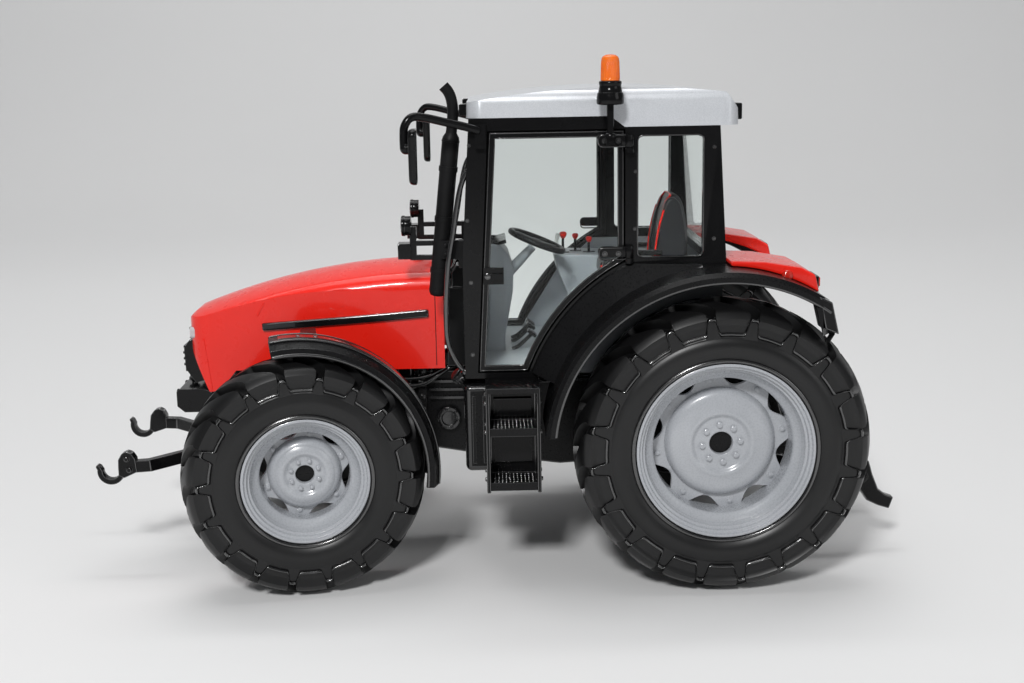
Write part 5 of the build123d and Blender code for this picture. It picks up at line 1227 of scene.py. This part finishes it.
def filler_cap(at):
    """Ribbed cap with a grip across its top."""
    piece = Piece("filler_cap", "plastic_dark", edge_satin)
    ribs = (0.035, 0.035, -0.035, -0.035)
    piece.loft([fluted_ring(at, h, r, flutes, 72) for h, r, flutes in (
        (-0.1, 1.3, (0,)), (0, 1.55, ribs), (0.95, 1.55, ribs), (1.1, 1.4, (0,)), (1.15, 1.2, (0,)),
        (1.25, 0.9, (0,)), (1.25, 0.3, (0,)))], caps=True)
    piece.block(at @ Vector((0, 0, 1.35)), (0.5, 2.0, 0.4), at.to_3x3().to_4x4())
    piece.done(bevel=0.05)


# ---------------------------------------------------------------- chassis details
ARM_PIVOT = (52.0, 20.6)  # (x, z) of the front arms' pins
ARM_TILT = {"left": 3.0, "right": -3.0}  # degrees below level


def engine_details():
    """Cast ribs, covers, hoses and a filter on the engine's sides below the bonnet."""
    low, high = ends("engine_block")
    y = high.y
    piece = Piece("engine_fittings", "paint_chassis", edge_satin)
    for i in range(7):
        piece.block((low.x + 3.0 + 4.4 * i, y, 34.0), (1.0, 0.7, 4.6))
    piece.block((low.x + 16.0, y + 0.1, 40.6), (26.0, 1.0, 2.4))
    for i in range(5):
        piece.lathe([(0, 1.25), (1.3, 1.25), (1.5, 1.0), (1.5, 0)],
                    place((low.x + 6 + 5.2 * i, y, 43.4), Y), 20)
    piece.lathe([(0, 0), (0, 1.7), (3.6, 1.7), (4.0, 1.4), (4.2, 0)],
                place((low.x + 12.0, y + 0.6, 32.0)), 28)
    piece.lathe([(0, 1.9), (1.4, 1.9), (1.7, 1.4), (1.7, 0)], place((high.x - 7.0, y, 36.2), Y), 28)
    hose = [(low.x - 3.0, y - 1.0, 33.0), (low.x + 4.0, y + 0.6, 32.3), (low.x + 14.0, y + 0.9, 33.2),
            (high.x - 9.0, y + 0.7, 32.4), (high.x - 2.0, y - 1.0, 33.6)]
    piece.pipe(hose, 0.5, 12)
    piece.mirrored()
    piece.block(((low.x + high.x) / 2, 0, high.z + 0.3), (20.0, 7.0, 1.4))
    piece.done(bevel=0.12)


def gearbox_details():
    """Flange, ribs, round cover, plugs and pipes on the sides of the gearbox ahead of the steps."""
    y = 7.0
    piece = Piece("gearbox_fittings", "paint_chassis", edge_satin)
    piece.block((14.2, y, 29.5), (1.5, 1.2, 14.0))
    piece.bolts([(14.2, y + 0.55, 23.6 + 2.4 * i) for i in range(6)], Y, 0.42, 0.45)
    for i in range(3):
        piece.block((9.4, y, 33.6 - 1.6 * i), (7.0, 0.9, 0.5))
    piece.lathe([(0, 0), (0, 2.3), (0.7, 2.3), (0.9, 2.1), (0.9, 1.5), (0.7, 1.3), (0.7, 0)],
                place((9.2, y, 26.4), Y), 36)
    piece.bolts([(u, y + 0.85, v) for u, v in arc((9.2, 26.4), 1.8, 15, 315, 5)], Y, 0.22, 0.25, 8)
    for x, z, r in ((5.6, 30.4, 0.8), (12.4, 35.6, 0.6), (10.4, 36.2, 0.6), (12.6, 22.6, 0.7)):
        piece.lathe([(0, 0), (0, r), (0.8, r), (1.0, 0.7 * r), (1.0, 0)], place((x, y, z), Y), 20)
    for dz, r in ((0.0, 0.42), (1.3, 0.34)):
        pipe = [(20.0, y + 0.2, 33.0 + dz), (14.0, y + 1.3, 33.4 + dz), (9.0, y + 1.1, 36.3 + 0.4 * dz),
                (5.6, y + 0.3, 37.0 + 0.4 * dz), (2.0, y - 0.6, 36.6 + 0.4 * dz)]
        piece.pipe(pipe, r, 12)
    piece.mirrored().done(bevel=0.1)


def support_details():
    """Bolts and ribs on the front support, the arms' pivot caps, bosses and the tow pin's head."""
    front_x = ends("front_support")[1].x
    side_y = 5.8
    piece = Piece("support_fittings", "paint_chassis", black_gloss)
    bolts = ((24.0, 28.6), (32.0, 28.6), (40.0, 28.8), (47.0, 28.8), (50.4, 26.6))
    piece.bolts([(x, side_y - 0.03, z) for x, z in bolts], Y, 0.62, 0.6)
    for x in (28.0, 36.0, 44.0):
        piece.block((x, side_y + 0.05, 28.4), (0.8, 0.5, 4.2))
    arm_x, arm_z = ARM_PIVOT
    # these stand where the arm doesn't sweep
    clear = ((-3.4, 2.8), (-3.7, 0.7), (-3.2, -1.4))
    piece.bolts([(arm_x + x, 6.77, arm_z + z) for x, z in clear], Y, 0.55, 0.5)
    piece.lathe([(0, 1.0), (0, 1.55), (0.35, 1.55), (0.5, 1.35), (0.5, 0.7), (0.35, 0.6), (0.35, 0)],
                place((arm_x, 9.2, arm_z), Y), 28)
    piece.mirrored()
    for y in (-3.6, 3.6):
        piece.lathe([(0, 0.8), (0.25, 0.8), (0.35, 0.65), (0.35, 0)],
                    place((front_x - 0.02, y, 31.6), X), 20)
    piece.lathe([(0, 1.0), (0.1, 1.1), (0.5, 1.1), (0.6, 0.95), (0.6, 0)],
                place((front_x - 2.4, 0, 33.35)), 20)
    piece.done(bevel=0.09)


def arm_place(side):
    """Matrix from an arm's own space, whose +X runs along the arm, to its place at rest."""
    return Matrix.Translation((ARM_PIVOT[0], 0, ARM_PIVOT[1])) @ turned(ARM_TILT[side])


def arm_shell(side, s):
    """Front arm: a bar that turns outwards, its eye, and an upward claw that ends in a thin hook."""
    at = arm_place(side) @ Matrix.Diagonal((1, s, 1, 1))
    piece = Piece(f"front_arm_body_{side}", "paint_chassis", black_gloss, f"front_arm_{side}")
    bar = [(0.0, 7.2), (8.4, 7.2), (14.0, 11.6), (18.0, 11.6), (18.0, 13.2), (13.4, 13.2), (7.8, 8.8),
           (0.0, 8.8)]
    piece.prism(bar, at @ Matrix.Translation((0, 0, -1.15)), 2.3)
    eye = arc((0, 0), 2.0, 0, 350, 35)
    hook = arc((21.0, -0.6), 2.55, 205, 372, 24) + [(23.75, 0.5), (23.45, 0.9), (22.95, 0.6)]
    hook += arc((20.95, -0.5), 1.55, 368, 200, 20)
    hump = [(16.0, -1.0), (16.1, 1.6), (16.7, 2.7), (17.6, 3.1), (18.6, 2.7), (19.35, 1.6), (19.5, 0.2),
            (19.6, -1.4), (18.6, -2.0)]
    for outline, y, wide in ((eye, 8.9, 1.7), (hook, 13.25, 1.7), (hump, 13.4, 2.0)):
        piece.prism(outline, at @ upright(y), wide)
    piece.done(f"front_arm_{side}", bevel=0.22)


def arm_details(side, s):
    """Pin heads on a front arm's claw and eye."""
    at = arm_place(side)
    piece = Piece(f"front_arm_fittings_{side}", "paint_chassis", black_gloss, f"front_arm_{side}")
    for u, v, y, r in ((17.7, 1.7, 13.38, 0.45), (17.4, -0.4, 13.38, 0.5), (1.2, 0.0, 8.88, 0.9)):
        piece.bolt(place(at @ Vector((u, s * y, v)), s * Y), r, 0.45, 12)
    piece.done(bevel=0.1)


def rear_details():
    """Housing bolts, splined shaft, hydraulic couplers, axle flanges, link pins and the hitch pin."""
    back_x = -50.5
    piece = Piece("rear_fittings", "paint_chassis", black_gloss)
    for y, z in ((7.0, 20.0), (7.0, 25.0), (7.0, 30.0), (3.4, 33.0)):
        piece.bolts([(back_x + 0.02, s * y, z) for s in (1, -1)], -X, 0.6, 0.55)
    for i, (u, v) in enumerate(arc((0.0, 23.0), 1.15, 0, 330, 11)):
        piece.block((back_x - 2.0, u, v), (3.8, 0.3, 0.3), turned(30 * i, "X"))
    for y in (-4.6, -2.2, 2.2, 4.6):
        piece.lathe([(0, 0.9), (0.6, 0.9), (0.7, 0.65), (1.5, 0.65), (1.6, 0.45), (1.6, 0)],
                    place((-47.6, y, 35.6), (-0.7, 0, 0.7)), 20)
    axle_x, axle_z = -39.5, REAR_TYRE_R
    for s in (1, -1):
        piece.lathe([(0, 5.0), (0.9, 5.0), (1.1, 4.7), (1.1, 4.4)],
                    place((axle_x, s * 8.6, axle_z), s * Y), 48)
        circle = arc((axle_x, axle_z), 4.8, 0, 324, 9)
        piece.bolts([(u, s * 9.55, v) for u, v in circle], s * Y, 0.4, 0.4)
        piece.lathe([(0, 1.0), (0, 1.5), (0.3, 1.5), (0.45, 1.3), (0.45, 0)],
                    place((-49.0, s * 12.45, 18.6), s * Y), 24)
    piece.lathe([(0, 0.78), (2.6, 0.78), (2.6, 1.3), (3.0, 1.3), (3.1, 0)], place((-61.0, 0, 15.2)), 20)
    piece.done(bevel=0.08)


def link_details(side, s):
    """Check strap and balls on a rear link."""
    piece = Piece(f"rear_link_fittings_{side}", "paint_chassis", black_gloss, f"rear_link_{side}")
    for x, z, r in ((-60.0, 17.0, 0.55), (-64.5, 16.2, 0.55), (-69.6, 14.2, 0.85)):
        piece.bolt(place((x, 11.98 * s, z), s * Y), r, 0.5, 12)
    piece.block((-59.0, 11.1 * s, 18.45), (9.0, 1.2, 0.5), turned(-5.5))
    piece.done(bevel=0.1)


def axle_details():
    """Steering cylinder's glands, and bolts on the beam."""
    front_x = ends("front_axle_beam")[1].x
    axle_z = middle("front_tyre_left").z
    piece = Piece("front_axle_fittings", "paint_chassis", black_gloss)
    for s in (1, -1):
        piece.lathe([(0, 0), (0, 1.35), (1.4, 1.35), (1.6, 1.15), (1.6, 0.6), (1.6, 0)],
                    place((front_x - 8.6, s * 7.2, axle_z + 0.6), s * Y), 24)
    spots = [(front_x - 0.03, y, axle_z + z) for y in (-3.0, 3.0) for z in (-2.2, 2.2)]
    piece.bolts(spots, X, 0.55, 0.5)
    piece.done(bevel=0.08)


seat()
seat_base()
seat_piping()
steering_wheel()
dash_shell()
dash_details()
levers()
fender_lips()
step_treads()
fuel_tank()
engine_details()
gearbox_details()
support_details()
rear_details()
axle_details()
for side, s in SIDES:
    mudguard_lips(side, s)
    arm_shell(side, s)
    arm_details(side, s)
    link_details(side, s)


# ---------------------------------------------------------------- stage
def add_stage():
    """Pale paper floor that curves up into a backdrop behind the tractor's right side."""
    mesh = bpy.data.meshes.new("floor")
    floor = bpy.data.objects.new("floor", mesh)
    bpy.context.scene.collection.objects.link(floor)
    half, bend, wall = 3.0, 0.4, 1.6
    profile = [(half, 0.0), (-0.5, 0.0)]
    profile += arc((-0.5, bend), bend, 270, 180, 8)[1:] + [(-0.5 - bend, wall)]
    shape = bmesh.new()
    rows = [[shape.verts.new((x, y, z)) for x in (-half, half)] for y, z in profile]
    for low, high in zip(rows, rows[1:]):
        shape.faces.new((low[0], low[1], high[1], high[0]))
    shape.to_mesh(mesh)
    for face in mesh.polygons:
        face.use_smooth = True
    s = Shader("floor_paper")
    s.color(s.tint(s.noise(0.002, 2), (0.74, 0.74, 0.74), (0.78, 0.78, 0.78)))
    s.set(Roughness=0.9)
    mesh.materials.append(s.material)


def area_light(name, spot, aim, size, watts):
    data = bpy.data.lights.new(name, "AREA")
    data.shape = "RECTANGLE"
    data.size, data.size_y = size
    data.energy = watts
    lamp = bpy.data.objects.new(name, data)
    bpy.context.scene.collection.objects.link(lamp)
    lamp.location = spot
    lamp.rotation_euler = (Vector(aim) - Vector(spot)).to_track_quat("-Z", "Y").to_euler()


def add_camera():
    """Camera 25 cm off the left side and 9 cm up, that looks slightly down."""
    yaw, pitch, roll = -0.016, 0.207, -0.018
    ahead = Vector((math.sin(yaw) * math.cos(pitch), -math.cos(yaw) * math.cos(pitch), -math.sin(pitch)))
    level = ahead.cross(Z).normalized()
    above = level.cross(ahead)
    right = math.cos(roll) * level + math.sin(roll) * above
    up = -math.sin(roll) * level + math.cos(roll) * above
    data = bpy.data.cameras.new("camera")
    data.sensor_width = 36.0
    data.lens = 46.56
    data.clip_start = 0.01
    camera = bpy.data.objects.new("camera", data)
    bpy.context.scene.collection.objects.link(camera)
    turn = Matrix((right, up, -ahead)).transposed().to_4x4()
    camera.matrix_world = Matrix.Translation(Vector((0.85, 253.46, 92.79)) * MM) @ turn
    bpy.context.scene.camera = camera


add_stage()
TRACTOR = (0, 0, 0.04)
# places and sizes in metres, power in watts
area_light("key", (0.12, 0.50, 0.42), TRACTOR, (0.10, 0.08), 2.7)
area_light("fill", (-0.55, 0.40, 0.25), TRACTOR, (0.3, 0.3), 0.5)
area_light("top", (0.05, -0.05, 0.80), TRACTOR, (0.5, 0.4), 1.8)
area_light("backdrop", (0.0, -0.35, 1.10), (0, -0.90, 0.40), (1.4, 0.2), 5.0)
world = bpy.data.worlds.new("world")
bpy.context.scene.world = world
world.use_nodes = True
sky = world.node_tree.nodes["Background"].inputs
sky["Color"].default_value = (0.95, 0.97, 1.0, 1)
sky["Strength"].default_value = 0.13
add_camera()
bpy.context.scene.view_settings.view_transform = "Standard"
